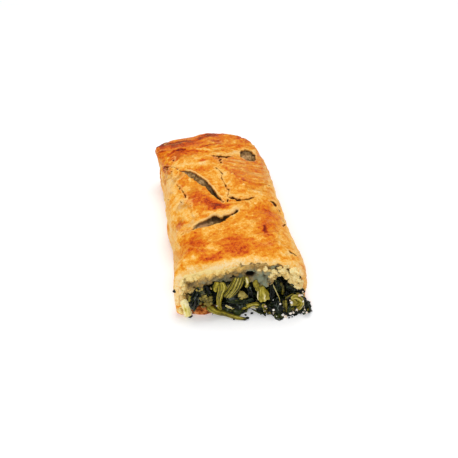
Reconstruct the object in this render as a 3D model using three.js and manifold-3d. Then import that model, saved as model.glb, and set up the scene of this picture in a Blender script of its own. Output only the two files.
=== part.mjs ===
// Spinach borek roll: a baked pastry roll with one closed end, cut straight across at the other end.
// A thick dough casing wraps a core of chopped cooked spinach, which spills a little out of the cut.
// Units are millimetres, +Z is up, the roll runs along Y and its cut end faces -Y.
import * as THREE from "three";
import { mergeVertices } from "three/addons/utils/BufferGeometryUtils.js";
import Module from "manifold-3d";

const wasm = await Module();
wasm.setup();

// Driving dimensions of the baked roll
const LENGTH = 143; // from the middle of the cut to the tip of the closed end
const HALF_WIDTH = 37.5; // half width of the casing before it wanders
const HEIGHT = 35.5; // crown of the top above the table
const WAIST = 14; // height at which the casing is widest
const END_ROUND = 20; // length over which the closed end draws in

// Dough thickness
const FLOOR_DOUGH = 2.8;
const SIDE_DOUGH = 5.5;
const CEILING_AT = 22.5; // height of the underside of the top dough
const END_DOUGH = 9;

// The cut
const CUT_SKEW = 4.2; // how much nearer the right side of the cut stands
const CUT_LEAN = 0.03; // the cut leans back as it rises, by this slope
const LIP = { x: -21, halfWidth: 9, out: 2.4, top: 6.5 }; // the floor dough sticks out here

// Clearance kept between pieces that touch
const GAP = 0.45;

// Mesh density
const AROUND = 56; // points round one section
const BODY_STATIONS = 27; // sections between the cut and the closed end
const END_STATIONS = 7; // sections that close the end
const CAVITY_STATIONS = 8;
const CAVITY_CROWDING = 1.7; // sections of the cavity stand closer together near the cut

const clamp = (v, low, high) => Math.min(high, Math.max(low, v));
const smooth = (low, high, v) => {
  const t = clamp((v - low) / (high - low), 0, 1);
  return t * t * (3 - 2 * t);
};
const hill = (dx, dy, radius) => Math.exp(-(dx * dx + dy * dy) / (radius * radius));

// Where the dough ends at the cut, as Y for a point of the section
const cutAt = (x, z) => {
  const draggedLeft = 3.2 * smooth(8, 34, -x) * smooth(12, HEIGHT, z);
  const lip = LIP.out * hill(x - LIP.x, 0, LIP.halfWidth) * smooth(LIP.top, LIP.top - 3, z);
  return CUT_LEAN * z - CUT_SKEW * smooth(-4, 34, x) + draggedLeft - lip;
};

// Each side wanders in its own way along the roll: [y, reach along y, outwards]
const LEFT_WANDER = [
  [3, 7, 1.3],
  [2, 4, -0.5],
  [10, 5, -4.3],
  [17, 6, -3.6],
  [37, 8, -4.7],
  [43, 5, -1.2],
  [50, 5, -0.8],
  [56, 5, -0.9],
  [77, 8, -1.7],
  [88, 8, -2.4],
  [103, 7, -0.9],
  [111, 9, -0.1],
];
const RIGHT_WANDER = [
  [-1, 5, -1.3],
  [16, 10, 0.3],
  [41, 10, -1.1],
  [74, 12, -0.9],
  [104, 12, 0.8],
  [124, 8, -0.8],
];
const wander = (list, y) =>
  list.reduce((sum, [at, reach, out]) => sum + out * Math.exp(-(((y - at) / reach) ** 2)), HALF_WIDTH);
const leftHalf = (y) => wander(LEFT_WANDER, y);
const rightHalf = (y) => wander(RIGHT_WANDER, y);

// Pillows and hollows of the risen top: [x, y, radius, height]
const SWELLS = [
  [-17, 15, 17, 0.9],
  [17, 24, 17, 1.0],
  [-19, 62, 14, 0.9],
  [13, 78, 17, 0.8],
  [-6, 54, 9, -1.0],
  [4, 132, 18, 0.4],
];
const swell = (x, y) =>
  SWELLS.reduce((sum, [cx, cy, radius, height]) => sum + height * hill(x - cx, y - cy, radius), 0);

// A shallow crease crosses the roll where the near slash ends
const CREASE = { from: [-36, 28], to: [36, 49], depth: 1.1, width: 4 };
const crease = (x, y) => {
  const [ax, ay] = CREASE.from;
  const [bx, by] = CREASE.to;
  const span = Math.hypot(bx - ax, by - ay);
  const off = ((y - ay) * (bx - ax) - (x - ax) * (by - ay)) / span;
  return -CREASE.depth * Math.exp(-((off / CREASE.width) ** 2));
};

// The last fold of dough lies over the closed end as a low step
const FOLD = { at: 119, rise: 0.4, slope: 2.5 };
const fold = (x, y) => FOLD.rise * smooth(-FOLD.slope, FOLD.slope, y - FOLD.at + 0.06 * x);

// Behind the slashes the top sinks a little, least in the middle of the closed end
function sag(x, y) {
  const middle = smooth(118, 126, y) * hill(x + 1, 0, 8);
  return -1.5 * smooth(102, 123, y) * smooth(-33, -22, x) * smooth(34, 18, x) * (1 - 0.75 * middle);
}

const topRelief = (x, y) => swell(x, y) + crease(x, y) + fold(x, y) + sag(x, y);

// Resamples a closed outline to a count of evenly spaced points, from its first point
function evenly(outline, count) {
  const along = [0];
  for (let i = 1; i <= outline.length; i++) {
    const a = outline[i - 1];
    const b = outline[i % outline.length];
    along.push(along[i - 1] + Math.hypot(b[0] - a[0], b[1] - a[1]));
  }
  const total = along[outline.length];
  let i = 0;
  return Array.from({ length: count }, (_, k) => {
    const target = (total * k) / count;
    while (along[i + 1] < target) i++;
    const t = (target - along[i]) / (along[i + 1] - along[i]);
    const a = outline[i];
    const b = outline[(i + 1) % outline.length];
    return [a[0] + (b[0] - a[0]) * t, a[1] + (b[1] - a[1]) * t];
  });
}

// A rounded slab section as [x, z] points, anticlockwise seen from the cut, from the middle of its base.
// Higher square values give tighter corners.
function slab(left, right, waist, crown, foot, squareLeft, squareRight, squareFoot, flat) {
  const steps = 480;
  const outline = [];
  for (let i = 0; i < steps; i++) {
    const t = -Math.PI / 2 + (2 * Math.PI * i) / steps;
    const squareTop = Math.cos(t) < 0 ? squareLeft : squareRight;
    const square = Math.sin(t) > 0 ? squareTop : squareFoot;
    const across = Math.sign(Math.cos(t)) * Math.abs(Math.cos(t)) ** (2 / square);
    const up = Math.abs(Math.sin(t)) ** (2 / square);
    const x = across * (across > 0 ? right : left);
    const z = Math.sin(t) > 0 ? waist + (crown - waist) * up : waist - (waist - foot) * flat * up;
    outline.push([x, Math.max(foot, z)]);
  }
  return outline;
}

// The right wall leans in as it rises, and the left shoulder is rounder next to the cut
const RIGHT_LEAN = 0.07;
function outerSection(y) {
  const squareLeft = 4.6 - 0.9 * (1 - smooth(2, 14, y));
  const outline = slab(leftHalf(y), rightHalf(y), WAIST, HEIGHT, 0, squareLeft, 3.5, 9, 1.02);
  return evenly(outline, AROUND).map(([x, z]) => {
    const onTop = smooth(WAIST + 6, HEIGHT - 4, z);
    const across = x > 0 ? x * (1 - RIGHT_LEAN * smooth(WAIST, HEIGHT, z)) : x;
    return [across, z + onTop * (topRelief(x, y) - 1.2 * smooth(10, 36, x))];
  });
}

// The underside of the top dough hangs lower in a soaked lump and towards the right wall, near the cut only
function ceilingSag(x, y) {
  const nearCut = 1 - smooth(4, 18, y);
  const lump = 8 * hill(x - 11, 0, 7);
  const right = 9 * smooth(20, 34, x);
  const left = 3.5 * smooth(16, 24, -x);
  return nearCut * (lump + right + left);
}

// The floor dough is thicker behind its lip, near the cut only
const floorRise = (x, y) => 3.6 * hill(x - LIP.x, 0, LIP.halfWidth) * (1 - smooth(3, 14, y));

function innerSection(y) {
  const left = leftHalf(y) - SIDE_DOUGH - 0.8;
  const right = rightHalf(y) - SIDE_DOUGH + 1.5;
  const outline = slab(left, right, 12, CEILING_AT, FLOOR_DOUGH, 3.4, 3.4, 4.2, 1.05);
  return evenly(outline, AROUND).map(([x, z]) => {
    const raised = z + floorRise(x, y) * smooth(9, 4, z);
    return [x, raised - ceilingSag(x, y) * smooth(3, 22, z)];
  });
}

// A section moved inwards by a distance, along its own normals
function shrunk(section, distance) {
  return section.map(([x, z], i) => {
    const before = section[(i + section.length - 1) % section.length];
    const after = section[(i + 1) % section.length];
    const [tx, tz] = [after[0] - before[0], after[1] - before[1]];
    const size = Math.hypot(tx, tz);
    const amount = Array.isArray(distance) ? distance[i] : distance;
    return [x - (tz / size) * amount, z + (tx / size) * amount];
  });
}

// How square the closed end's edge is, by the side of the section that it is on
function endSquareness(x, z) {
  const left = smooth(10, 34, -x);
  const right = smooth(10, 34, x);
  const top = smooth(18, HEIGHT, z);
  return 3.6 + 3 * left - 1.5 * right + 1.2 * top;
}

// The closed end reaches less far at its sides
const endReach = (x) => 1 - 0.38 * smooth(2, 38, -x) - 0.18 * smooth(14, 38, x);

// The pulled corner of dough at the top left of the closed end
const CORNER = { x: -37, y: 128, z: 32, radius: 8, out: 3.8 };
function pulledCorner([x, y, z]) {
  const near = CORNER.out * hill(Math.hypot(x - CORNER.x, y - CORNER.y), z - CORNER.z, CORNER.radius);
  return [x - near, y + 0.6 * near, z];
}

// Rings of points from the middle of the closed end to the cut
function lengthwise(section, start, reach, from, stations, crowding, endStations, square, reachAt) {
  const rings = [];
  const last = section(start);
  const centre = [
    last.reduce((s, p) => s + p[0], 0) / last.length,
    last.reduce((s, p) => s + p[1], 0) / last.length,
  ];
  for (let j = 1; j <= endStations; j++) {
    const angle = (Math.PI / 2) * (1 - j / (endStations + 1));
    rings.push(
      last.map(([x, z]) => {
        const power = 2 / square(x, z);
        const grow = Math.cos(angle) ** power;
        const across = centre[0] + (x - centre[0]) * grow;
        const y = start + reach * reachAt(across) * Math.sin(angle) ** power;
        return [across, y, centre[1] + (z - centre[1]) * grow];
      }),
    );
  }
  for (let j = 0; j <= stations; j++) {
    const along = (1 - j / stations) ** crowding;
    rings.push(
      section(start * along).map(([x, z]) => {
        const first = from(x, z);
        return [x, first + (start - first) * along, z];
      }),
    );
  }
  return { pole: [centre[0], start + reach, centre[1]], rings };
}

// A closed mesh from two poles and the rings between them
function closedFromRings(firstPole, rings, lastPole) {
  const count = rings[0].length;
  const points = [firstPole, ...rings.flat(), lastPole];
  const index = [];
  const at = (ring, i) => 1 + ring * count + (i % count);
  for (let i = 0; i < count; i++) index.push(0, at(0, i + 1), at(0, i));
  const apart = (a, b) => Math.hypot(...points[a].map((v, k) => v - points[b][k]));
  for (let r = 0; r + 1 < rings.length; r++) {
    for (let i = 0; i < count; i++) {
      const [a, b, c, d] = [at(r, i), at(r, i + 1), at(r + 1, i + 1), at(r + 1, i)];
      if (apart(a, c) < apart(b, d)) index.push(a, b, c, a, c, d);
      else index.push(a, b, d, b, c, d);
    }
  }
  const end = points.length - 1;
  for (let i = 0; i < count; i++) index.push(end, at(rings.length - 1, i), at(rings.length - 1, i + 1));
  return new THREE.BufferGeometry()
    .setAttribute("position", new THREE.Float32BufferAttribute(points.flat(), 3))
    .setIndex(index);
}

function solidOf(geometry) {
  const bare = geometry.clone();
  bare.deleteAttribute("normal");
  bare.deleteAttribute("uv");
  const merged = mergeVertices(bare, 1e-4);
  const solid = new wasm.Manifold(
    new wasm.Mesh({
      numProp: 3,
      vertProperties: new Float32Array(merged.attributes.position.array),
      triVerts: new Uint32Array(merged.index.array),
    }),
  );
  return solid;
}

function geometryOf(solid) {
  const mesh = solid.getMesh();
  return new THREE.BufferGeometry()
    .setAttribute("position", new THREE.Float32BufferAttribute(mesh.vertProperties, 3))
    .setIndex(new THREE.Uint32BufferAttribute(mesh.triVerts, 1));
}

const mixRings = (a, b, t, shift) =>
  a.map((p, i) => [
    p[0] + (b[i][0] - p[0]) * t,
    p[1] + (b[i][1] - p[1]) * t + shift,
    p[2] + (b[i][2] - p[2]) * t,
  ]);

// The edge of the cut is rounded over, most at the upper left and least at the foot
const RIM_STEPS = [0, 0.5, 1];
const rimRound = (x, z) => 0.9 + 1.3 * smooth(2, 10, z) + smooth(22, 34, z) * (0.6 + 2.2 * smooth(6, -14, x));

// The dough casing: outer skin, torn face of the cut, and the cavity behind it
function casing() {
  const outer = lengthwise(
    outerSection,
    LENGTH - END_ROUND,
    END_ROUND,
    cutAt,
    BODY_STATIONS,
    1,
    END_STATIONS,
    endSquareness,
    endReach,
  );
  const skin = outer.rings.map((ring, j) => (j < END_STATIONS + 6 ? ring.map(pulledCorner) : ring));
  const cavity = lengthwise(
    innerSection,
    LENGTH - END_DOUGH - 14,
    14,
    cutAt,
    CAVITY_STATIONS,
    CAVITY_CROWDING,
    4,
    () => 3,
    endReach,
  );
  const mouth = cavity.rings[cavity.rings.length - 1];
  const flat = outerSection(0);
  const rim = RIM_STEPS.map((step) => {
    const angle = (Math.PI / 2) * step;
    const inset = flat.map(([x, z]) => rimRound(x, z) * (1 - Math.cos(angle)));
    return shrunk(flat, inset).map(([x, z], i) => {
      const round = rimRound(...flat[i]);
      return [x, cutAt(x, z) + round * (1 - Math.sin(angle)), z];
    });
  });
  const face = [mixRings(rim[rim.length - 1], mouth, 0.35, 0.5), mixRings(rim[rim.length - 1], mouth, 0.7, 0.7)];
  const rings = [...skin.slice(0, -1), ...rim, ...face, ...cavity.rings.reverse()];
  return closedFromRings(outer.pole, rings, cavity.pole);
}

// A slash in the skin: a lens between two points, bowed to one side
function slash([ax, ay], [bx, by], bow, width) {
  const span = Math.hypot(bx - ax, by - ay);
  const [ux, uy] = [(bx - ax) / span, (by - ay) / span];
  const edge = (side) => (s) => {
    const off = 4 * bow * s * (1 - s) + (side * width * Math.sin(Math.PI * s) ** 0.8) / 2;
    return new THREE.Vector2(ax + ux * span * s - uy * off, ay + uy * span * s + ux * off);
  };
  const steps = 12;
  const there = Array.from({ length: steps + 1 }, (_, i) => edge(-1)(i / steps));
  const back = Array.from({ length: steps - 1 }, (_, i) => edge(1)(1 - (i + 1) / steps));
  return new THREE.Shape([...there, ...back]);
}

function ventHole(x, y, halfX, halfY, turn) {
  const shape = new THREE.Shape();
  shape.absellipse(x, y, halfX, halfY, 0, 2 * Math.PI, false, turn);
  return shape;
}

const OPENINGS = [
  { shape: slash([-26, 93.5], [-2.9, 55.2], 4.0, 4.6), depth: 2.8 },
  { shape: slash([-24.5, 31.6], [5, 46], 0.4, 6.0), depth: 3.2 },
  { shape: slash([1.5, 59], [17, 57], -2.6, 2.2), depth: 1.8 },
  { shape: ventHole(22.4, 103.8, 4.5, 7.4, 0.16), depth: 2.6 },
];

// Each opening is as deep below the skin everywhere, because its floor is the skin lowered
function openTheSkin(skin) {
  return OPENINGS.reduce((left, { shape, depth }) => {
    const tall = new THREE.ExtrudeGeometry(shape, { depth: HEIGHT, bevelEnabled: false, curveSegments: 12 });
    tall.translate(0, 0, WAIST);
    const floor = skin.translate([0, 0, -depth]);
    return left.subtract(solidOf(tall).subtract(floor));
  }, skin);
}

// The spinach core fills the cavity and swells out of the cut
function core() {
  const inside = lengthwise(
    (y) => shrunk(innerSection(y), GAP + 0.2),
    LENGTH - END_DOUGH - 14,
    14 - GAP,
    (x, z) => cutAt(x, z) - GAP,
    CAVITY_STATIONS,
    CAVITY_CROWDING,
    4,
    () => 3,
    endReach,
  );
  const mouth = inside.rings[inside.rings.length - 1];
  const middle = [1, -0.5, 11];
  const lumps = (x, z) => 0.9 * Math.sin(0.55 * x + 1) * Math.cos(0.5 * z) + 0.5 * Math.sin(1.1 * x);
  const swelling = [0.86, 0.6, 0.32].map((share) =>
    mouth.map(([x, , z]) => {
      const px = middle[0] + (x - middle[0]) * share;
      const pz = middle[2] + (z - middle[2]) * share;
      const low = 1 - smooth(8, 20, pz);
      return [px, cutAt(px, pz) - GAP - 1.2 - 1.3 * low - lumps(px, pz) * (1 - share * share), pz];
    }),
  );
  return closedFromRings(inside.pole, [...inside.rings, ...swelling], [1, cutAt(1, 11) - 3.6, 11]);
}

// Spinach that has slid out of the cut and lies on the table, mostly at the right
function spill(cx, cy, rx, ry, top, phase) {
  const ball = new THREE.SphereGeometry(1, 22, 14);
  const place = ball.attributes.position;
  for (let i = 0; i < place.count; i++) {
    const [x, y, z] = [place.getX(i), place.getY(i), place.getZ(i)];
    const rough = 1 + 0.09 * Math.sin(5 * x + phase) * Math.cos(4 * z + phase) + 0.06 * Math.sin(7 * y + phase);
    place.setXYZ(i, cx + rx * x * rough, cy + ry * y * rough, top * z * rough);
  }
  const tableHalf = new THREE.BoxGeometry(200, 200, 60).translate(0, 0, 30);
  const face = Array.from({ length: 25 }, (_, i) => -60 + 5 * i);
  const front = new THREE.Shape([
    new THREE.Vector2(-60, -60),
    new THREE.Vector2(60, -60),
    ...face.reverse().map((x) => new THREE.Vector2(x, cutAt(x, 0) - GAP)),
  ]);
  const inFront = new THREE.ExtrudeGeometry(front, { depth: 100, bevelEnabled: false });
  return solidOf(ball).intersect(solidOf(tableHalf)).intersect(solidOf(inFront));
}

function spinach() {
  return solidOf(core())
    .add(spill(20, -5, 13, 7, 10, 0.4))
    .add(spill(34, -6.4, 5.6, 5.2, 10, 2.1));
}

// A cooked stem: a tapering, slightly ribbed rod along a curve
function stem(points, thick, thin) {
  const path = new THREE.CatmullRomCurve3(points.map((p) => new THREE.Vector3(...p)));
  const steps = 14;
  const sides = 10;
  const frames = path.computeFrenetFrames(steps, false);
  const rings = Array.from({ length: steps + 1 }, (_, j) => {
    const s = j / steps;
    const centre = path.getPointAt(s);
    const radius = ((thick + (thin - thick) * s) / 2) * Math.min(1, 4.5 * s + 0.55, 4.5 * (1 - s) + 0.55);
    return Array.from({ length: sides }, (_, i) => {
      const angle = (2 * Math.PI * i) / sides;
      const across = radius * Math.cos(angle) * (1 + 0.08 * Math.cos(3 * angle));
      const p = centre
        .clone()
        .addScaledVector(frames.normals[j], across)
        .addScaledVector(frames.binormals[j], radius * Math.sin(angle));
      return [p.x, p.y, Math.max(0, p.z)];
    });
  });
  return closedFromRings(points[0], rings, points[points.length - 1]);
}

const fallenStem = () =>
  stem(
    [
      [-20.6, -5.0, 8.8],
      [-18.9, -5.3, 6.6],
      [-16.6, -5.5, 4.9],
      [-12.8, -5.8, 3.1],
      [-8.3, -7.1, 1.9],
      [-3.9, -9.0, 1.4],
      [0.6, -10.2, 1.2],
    ],
    3.8,
    2.4,
  );

// A pale chunk of stalk stands against the left foot of the cut
const CHUNK = { at: [-33.2, -2.1, 6.9], half: [2.8, 1.9, 7.1], tilt: -0.2 };
function cornerStem() {
  const lump = new THREE.SphereGeometry(1, 14, 12).rotateX(Math.PI / 2);
  lump.scale(...CHUNK.half).rotateY(CHUNK.tilt).translate(...CHUNK.at);
  const table = new THREE.BoxGeometry(200, 200, 60).translate(0, 0, 30);
  return geometryOf(solidOf(lump).intersect(solidOf(table)));
}

const LOOKS = {
  pastry: { color: 0xd98a35, roughness: 0.5, metalness: 0 },
  spinach: { color: 0x1f2b12, roughness: 0.35, metalness: 0 },
  stem: { color: 0x9a9433, roughness: 0.4, metalness: 0 },
};

function piece(name, geometry, look) {
  const flat = geometry.index ? geometry.toNonIndexed() : geometry;
  flat.computeVertexNormals();
  const mesh = new THREE.Mesh(flat, new THREE.MeshStandardMaterial(LOOKS[look]));
  mesh.name = name;
  return mesh;
}

const roll = new THREE.Group();
roll.add(piece("pastry", geometryOf(openTheSkin(solidOf(casing()))), "pastry"));
roll.add(piece("spinach_filling", geometryOf(spinach()), "spinach"));
roll.add(piece("fallen_stem", fallenStem(), "stem"));
roll.add(piece("corner_stem", cornerStem(), "stem"));

// The origin is the middle of the whole piece on the table
const reach = new THREE.Box3().setFromObject(roll);
roll.position.set(-(reach.min.x + reach.max.x) / 2, -(reach.min.y + reach.max.y) / 2, 0);

export default roll;
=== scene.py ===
"""A baked spinach borek roll, torn across at its near end, on a plain pale floor."""

import math

import bpy
import numpy as np
from mathutils import Matrix, Vector


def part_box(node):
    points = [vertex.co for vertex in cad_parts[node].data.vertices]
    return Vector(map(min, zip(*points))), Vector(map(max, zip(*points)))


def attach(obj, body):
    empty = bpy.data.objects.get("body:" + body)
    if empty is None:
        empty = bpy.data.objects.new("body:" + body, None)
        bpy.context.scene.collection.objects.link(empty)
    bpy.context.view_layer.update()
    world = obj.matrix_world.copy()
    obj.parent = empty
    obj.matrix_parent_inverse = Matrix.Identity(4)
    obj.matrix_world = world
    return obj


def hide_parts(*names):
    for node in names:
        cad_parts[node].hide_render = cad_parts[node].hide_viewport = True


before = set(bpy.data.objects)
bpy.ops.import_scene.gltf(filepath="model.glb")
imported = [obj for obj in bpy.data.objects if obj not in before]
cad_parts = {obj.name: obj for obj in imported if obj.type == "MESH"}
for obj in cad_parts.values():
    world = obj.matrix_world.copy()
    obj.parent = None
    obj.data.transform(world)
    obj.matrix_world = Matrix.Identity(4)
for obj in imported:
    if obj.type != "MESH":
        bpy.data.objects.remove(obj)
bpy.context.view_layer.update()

# ---------------------------------------------------------------------------------------------
# The casing: one sheet of yeast dough wrapped round the filling, pinched shut at the far end,
# glazed and baked. The near end is torn across, so the thick soft crumb under the crust shows,
# and two slashes, a steam vent and a few cracks open the top.

MM = 0.001
pastry_low, pastry_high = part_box("pastry")
SHIFT = Vector((pastry_low[0] + 38.69 * MM, pastry_high[1] - 143.0 * MM, 0.0))

LENGTH = 143.0
HALF_WIDTH = 37.5
HEIGHT = 35.5
WAIST = 14.0
END_ROUND = 20.0
COLUMNS = 300
BASE_CROWDING = 0.15
TUBE_ROWS = 205
END_ROWS = 34
RIM_ROWS = 9
FACE_ROWS = 34
CAVITY_ROWS = 13
CAVITY_DEPTH = 22.0
MOUTH_FLARE = 2.4

LATTICE = 64
CELLS = 32
FAR_OFF = 9.0
lattice = np.random.default_rng(11).random((LATTICE, LATTICE, LATTICE))
cell_offsets = np.random.default_rng(12).random((CELLS, CELLS, CELLS, 3))


def smooth(low, high, value):
    """0 before low, 1 past high, and a soft step between them, which runs down if high is the smaller."""
    t = np.clip((value - low) / (high - low), 0.0, 1.0)
    return t * t * (3.0 - 2.0 * t)


def hill(dx, dy, rx, ry=None):
    """A soft bump, 1 at its middle, that dies away over rx and ry."""
    return np.exp(-((dx / rx) ** 2) - (dy / (ry or rx)) ** 2)


def rough(x, y, z, size, seed=0.0):
    """Soft noise from -1 to 1 with lumps of that size."""
    q = [np.asarray(v, float) / size + seed * 7.31 + k * 3.7 for k, v in enumerate((x, y, z))]
    cell = [np.floor(v).astype(int) for v in q]
    part = [v - c for v, c in zip(q, cell)]
    part = [t * t * (3.0 - 2.0 * t) for t in part]
    total = 0.0
    for i in (0, 1):
        for j in (0, 1):
            for k in (0, 1):
                corner = lattice[(cell[0] + i) % LATTICE, (cell[1] + j) % LATTICE, (cell[2] + k) % LATTICE]
                share = (
                    (part[0] if i else 1.0 - part[0])
                    * (part[1] if j else 1.0 - part[1])
                    * (part[2] if k else 1.0 - part[2])
                )
                total = total + corner * share
    return total * 2.0 - 1.0


def crumbs(x, y, z, size, seed=0):
    """Rounded granules: (height under each point, a random number for each, distance from its edge)."""
    q = np.stack([np.asarray(v, float) / size + seed * 5.17 for v in (x, y, z)], -1)
    base = np.floor(q).astype(int)
    nearest = np.full(q.shape[:-1], FAR_OFF)
    second = np.full(q.shape[:-1], FAR_OFF)
    own = np.zeros(q.shape[:-1])
    for i in (-1, 0, 1):
        for j in (-1, 0, 1):
            for k in (-1, 0, 1):
                cell = base + (i, j, k)
                wrapped = cell % CELLS
                offset = cell_offsets[wrapped[..., 0], wrapped[..., 1], wrapped[..., 2]]
                gap = np.linalg.norm(cell + offset - q, axis=-1)
                own = np.where(gap < nearest, offset[..., 0], own)
                second = np.where(gap < nearest, nearest, np.minimum(second, gap))
                nearest = np.minimum(nearest, gap)
    return np.clip(1.0 - nearest * nearest, 0.0, 1.0), own, second - nearest


def wander(y, bumps):
    """Half the width at y, out of the straight by a bump for each (y, reach, how far out)."""
    return HALF_WIDTH + sum(out * np.exp(-(((y - at) / reach) ** 2)) for at, reach, out in bumps)


# Where each side bulges, or dips where the last number is negative: y, reach, how far out
LEFT_WANDER = [
    (3, 7, 1.3), (2, 4, -0.5), (10, 5, -4.3), (17, 6, -3.6), (37, 8, -4.7), (43, 5, -1.2), (50, 5, -0.8),
    (56, 5, -0.9), (77, 8, -1.7), (88, 8, -2.4), (103, 7, -0.9), (111, 9, -0.1),
]
RIGHT_WANDER = [(-1, 5, -1.3), (16, 10, 0.3), (41, 10, -1.1), (74, 12, -0.9), (104, 12, 0.8), (124, 8, -0.8)]
# Swells and one dip in the top, each: x, y, reach, rise
SWELLS = [
    (-17, 15, 17, 0.9),
    (17, 24, 17, 1.0),
    (-19, 62, 14, 0.9),
    (13, 78, 17, 0.8),
    (-6, 54, 9, -1.0),
    (4, 132, 18, 0.4),
]


def top_relief(x, y):
    """How far the top stands above or below a level sheet: swells, a crease, a fold and a sag."""
    swells = sum(rise * hill(x - cx, y - cy, r) for cx, cy, r, rise in SWELLS)
    off = ((y - 28.0) * 72.0 - (x + 36.0) * 21.0) / 75.0
    crease = -1.1 * np.exp(-((off / 4.0) ** 2))
    fold = 0.4 * smooth(-2.5, 2.5, y - 119.0 + 0.06 * x)
    sag = -1.5 * smooth(102, 123, y) * smooth(-33, -22, x) * smooth(34, 18, x)
    sag = sag * (1 - 0.75 * smooth(118, 126, y) * hill(x + 1, 0, 8))
    return swells + crease + fold + sag


def resampled(outline, count, weight=None):
    """A closed outline as that many points, from its first one, closer together where weight is high."""
    closed = np.vstack([outline, outline[:1]])
    steps = np.linalg.norm(np.diff(closed, axis=0), axis=1)
    if weight is not None:
        steps = steps * weight
    along = np.concatenate([[0.0], np.cumsum(steps)])
    targets = along[-1] * np.arange(count) / count
    return np.stack([np.interp(targets, along, closed[:, k]) for k in (0, 1)], -1)


def outer_section(y):
    """The casing's outline across the roll at y, as x and z, from the middle of its base."""
    t = -math.pi / 2 + 2 * math.pi * np.arange(720) / 720
    square_left = 4.6 - 0.9 * (1.0 - smooth(2, 14, y))
    above = np.where(np.cos(t) < 0, square_left, 3.5)
    square = np.where(np.sin(t) > 0, above, 9.0)
    across = np.sign(np.cos(t)) * np.abs(np.cos(t)) ** (2 / square)
    up = np.abs(np.sin(t)) ** (2 / square)
    x = across * np.where(across > 0, wander(y, RIGHT_WANDER), wander(y, LEFT_WANDER))
    z = np.where(np.sin(t) > 0, WAIST + (HEIGHT - WAIST) * up, WAIST - WAIST * 1.02 * up)
    z = np.maximum(z, 0.0)
    weight = BASE_CROWDING + (1.0 - BASE_CROWDING) * smooth(0.0, 1.0, z)
    ring = resampled(np.stack([x, z], -1), COLUMNS, weight)
    x, z = ring[:, 0], ring[:, 1]
    on_top = smooth(WAIST + 6, HEIGHT - 4, z)
    across = np.where(x > 0, x * (1 - 0.07 * smooth(WAIST, HEIGHT, z)), x)
    return np.stack([across, z + on_top * (top_relief(x, y) - 1.2 * smooth(10, 36, x))], -1)


def cut_at(x, z):
    """Where along the roll the torn face stands."""
    dragged = 3.2 * smooth(8, 34, -x) * smooth(12, HEIGHT, z)
    lip = 2.4 * hill(x + 21, 0, 9) * smooth(6.5, 3.5, z)
    foot = 1.3 * smooth(30, 36, -x) * smooth(7, 3, z)
    return 0.03 * z - 4.2 * smooth(-4, 34, x) + dragged - lip - foot


def rim_round(x, z):
    """How widely the crust turns in to the torn face."""
    return 0.9 + 1.3 * smooth(2, 10, z) + smooth(22, 34, z) * (0.6 + 2.2 * smooth(6, -14, x))


def shrunk(ring, inset):
    """The ring moved inwards by the inset at each of its points."""
    ahead = np.roll(ring, -1, axis=0) - np.roll(ring, 1, axis=0)
    tangent = ahead / np.linalg.norm(ahead, axis=1, keepdims=True)
    return ring + np.stack([-tangent[:, 1], tangent[:, 0]], -1) * inset[:, None]


# The ragged mouth in the cut face, from the middle of its base round by the right: x, z
MOUTH_BASE_RIGHT = [(0, 2.2), (15, 2.2), (28, 2.4), (33.5, 4.0)]
MOUTH_RIGHT = [(34.6, 7.5), (33.6, 11.6), (30.6, 13.2), (28.0, 17.4)]
MOUTH_TOP = [
    (25.9, 20.2), (23.3, 23.0), (20.9, 25.2), (18.6, 25.0), (16.5, 20.4), (14.2, 16.0), (10.7, 15.2),
    (8.3, 17.6),
    (7.0, 20.6), (5.4, 19.4), (3.4, 18.4), (0.9, 21.4), (-1.9, 22.0), (-4.2, 21.2), (-6.9, 20.0),
    (-8.6, 17.8),
    (-10.6, 18.0), (-12.5, 19.8), (-14.7, 21.2), (-16.3, 20.2), (-18.5, 18.8), (-20.8, 17.2), (-22.5, 14.8),
    (-24.4, 15.2), (-26.6, 17.2), (-28.2, 15.4), (-30.2, 15.0),
]
MOUTH_LEFT = [(-31.0, 14.0), (-30.8, 10.6), (-29.9, 6.5)]
MOUTH_BASE_LEFT = [(-27.5, 5.2), (-22.0, 5.6), (-16.5, 3.6), (-8.0, 2.3)]


def open_line(points, count):
    """An open line as that many evenly spaced points, without its last one."""
    points = np.asarray(points, float)
    along = np.concatenate([[0.0], np.cumsum(np.linalg.norm(np.diff(points, axis=0), axis=1))])
    targets = along[-1] * np.arange(count) / count
    return np.stack([np.interp(targets, along, points[:, k]) for k in (0, 1)], -1)


def mouth_outline(ring):
    """The mouth as one point for each column of the rim's ring, corner matched to corner."""
    x, z = ring[:, 0], ring[:, 1]
    right_foot = int(np.argmin((x - 36) ** 2 + (z - 1) ** 2))
    right_top = int(np.argmin((x - 32) ** 2 + (z - 31) ** 2))
    left_top = int(np.argmin((x + 34) ** 2 + (z - 30) ** 2))
    left_foot = int(np.argmin((x + 36) ** 2 + (z - 1) ** 2))
    right = MOUTH_BASE_RIGHT[-1:] + MOUTH_RIGHT
    top = MOUTH_RIGHT[-1:] + MOUTH_TOP
    left = MOUTH_TOP[-1:] + MOUTH_LEFT
    base = MOUTH_LEFT[-1:] + MOUTH_BASE_LEFT + MOUTH_BASE_RIGHT[:1]
    parts = [
        open_line(MOUTH_BASE_RIGHT, right_foot),
        open_line(right, right_top - right_foot),
        open_line(top, left_top - right_top),
        open_line(left, left_foot - left_top),
        open_line(base, COLUMNS - left_foot),
    ]
    line = np.vstack(parts)
    for _ in range(3):
        line = (np.roll(line, 1, axis=0) + 2 * line + np.roll(line, -1, axis=0)) / 4
    return line


def end_squareness(x, z):
    """The power that squares off the closed end."""
    return 3.6 + 3 * smooth(10, 34, -x) - 1.5 * smooth(10, 34, x) + 1.2 * smooth(18, HEIGHT, z)


def end_reach(x):
    """How much of the end's round is used, less toward the sides."""
    return 1 - 0.38 * smooth(2, 38, -x) - 0.18 * smooth(14, 38, x)


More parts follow.
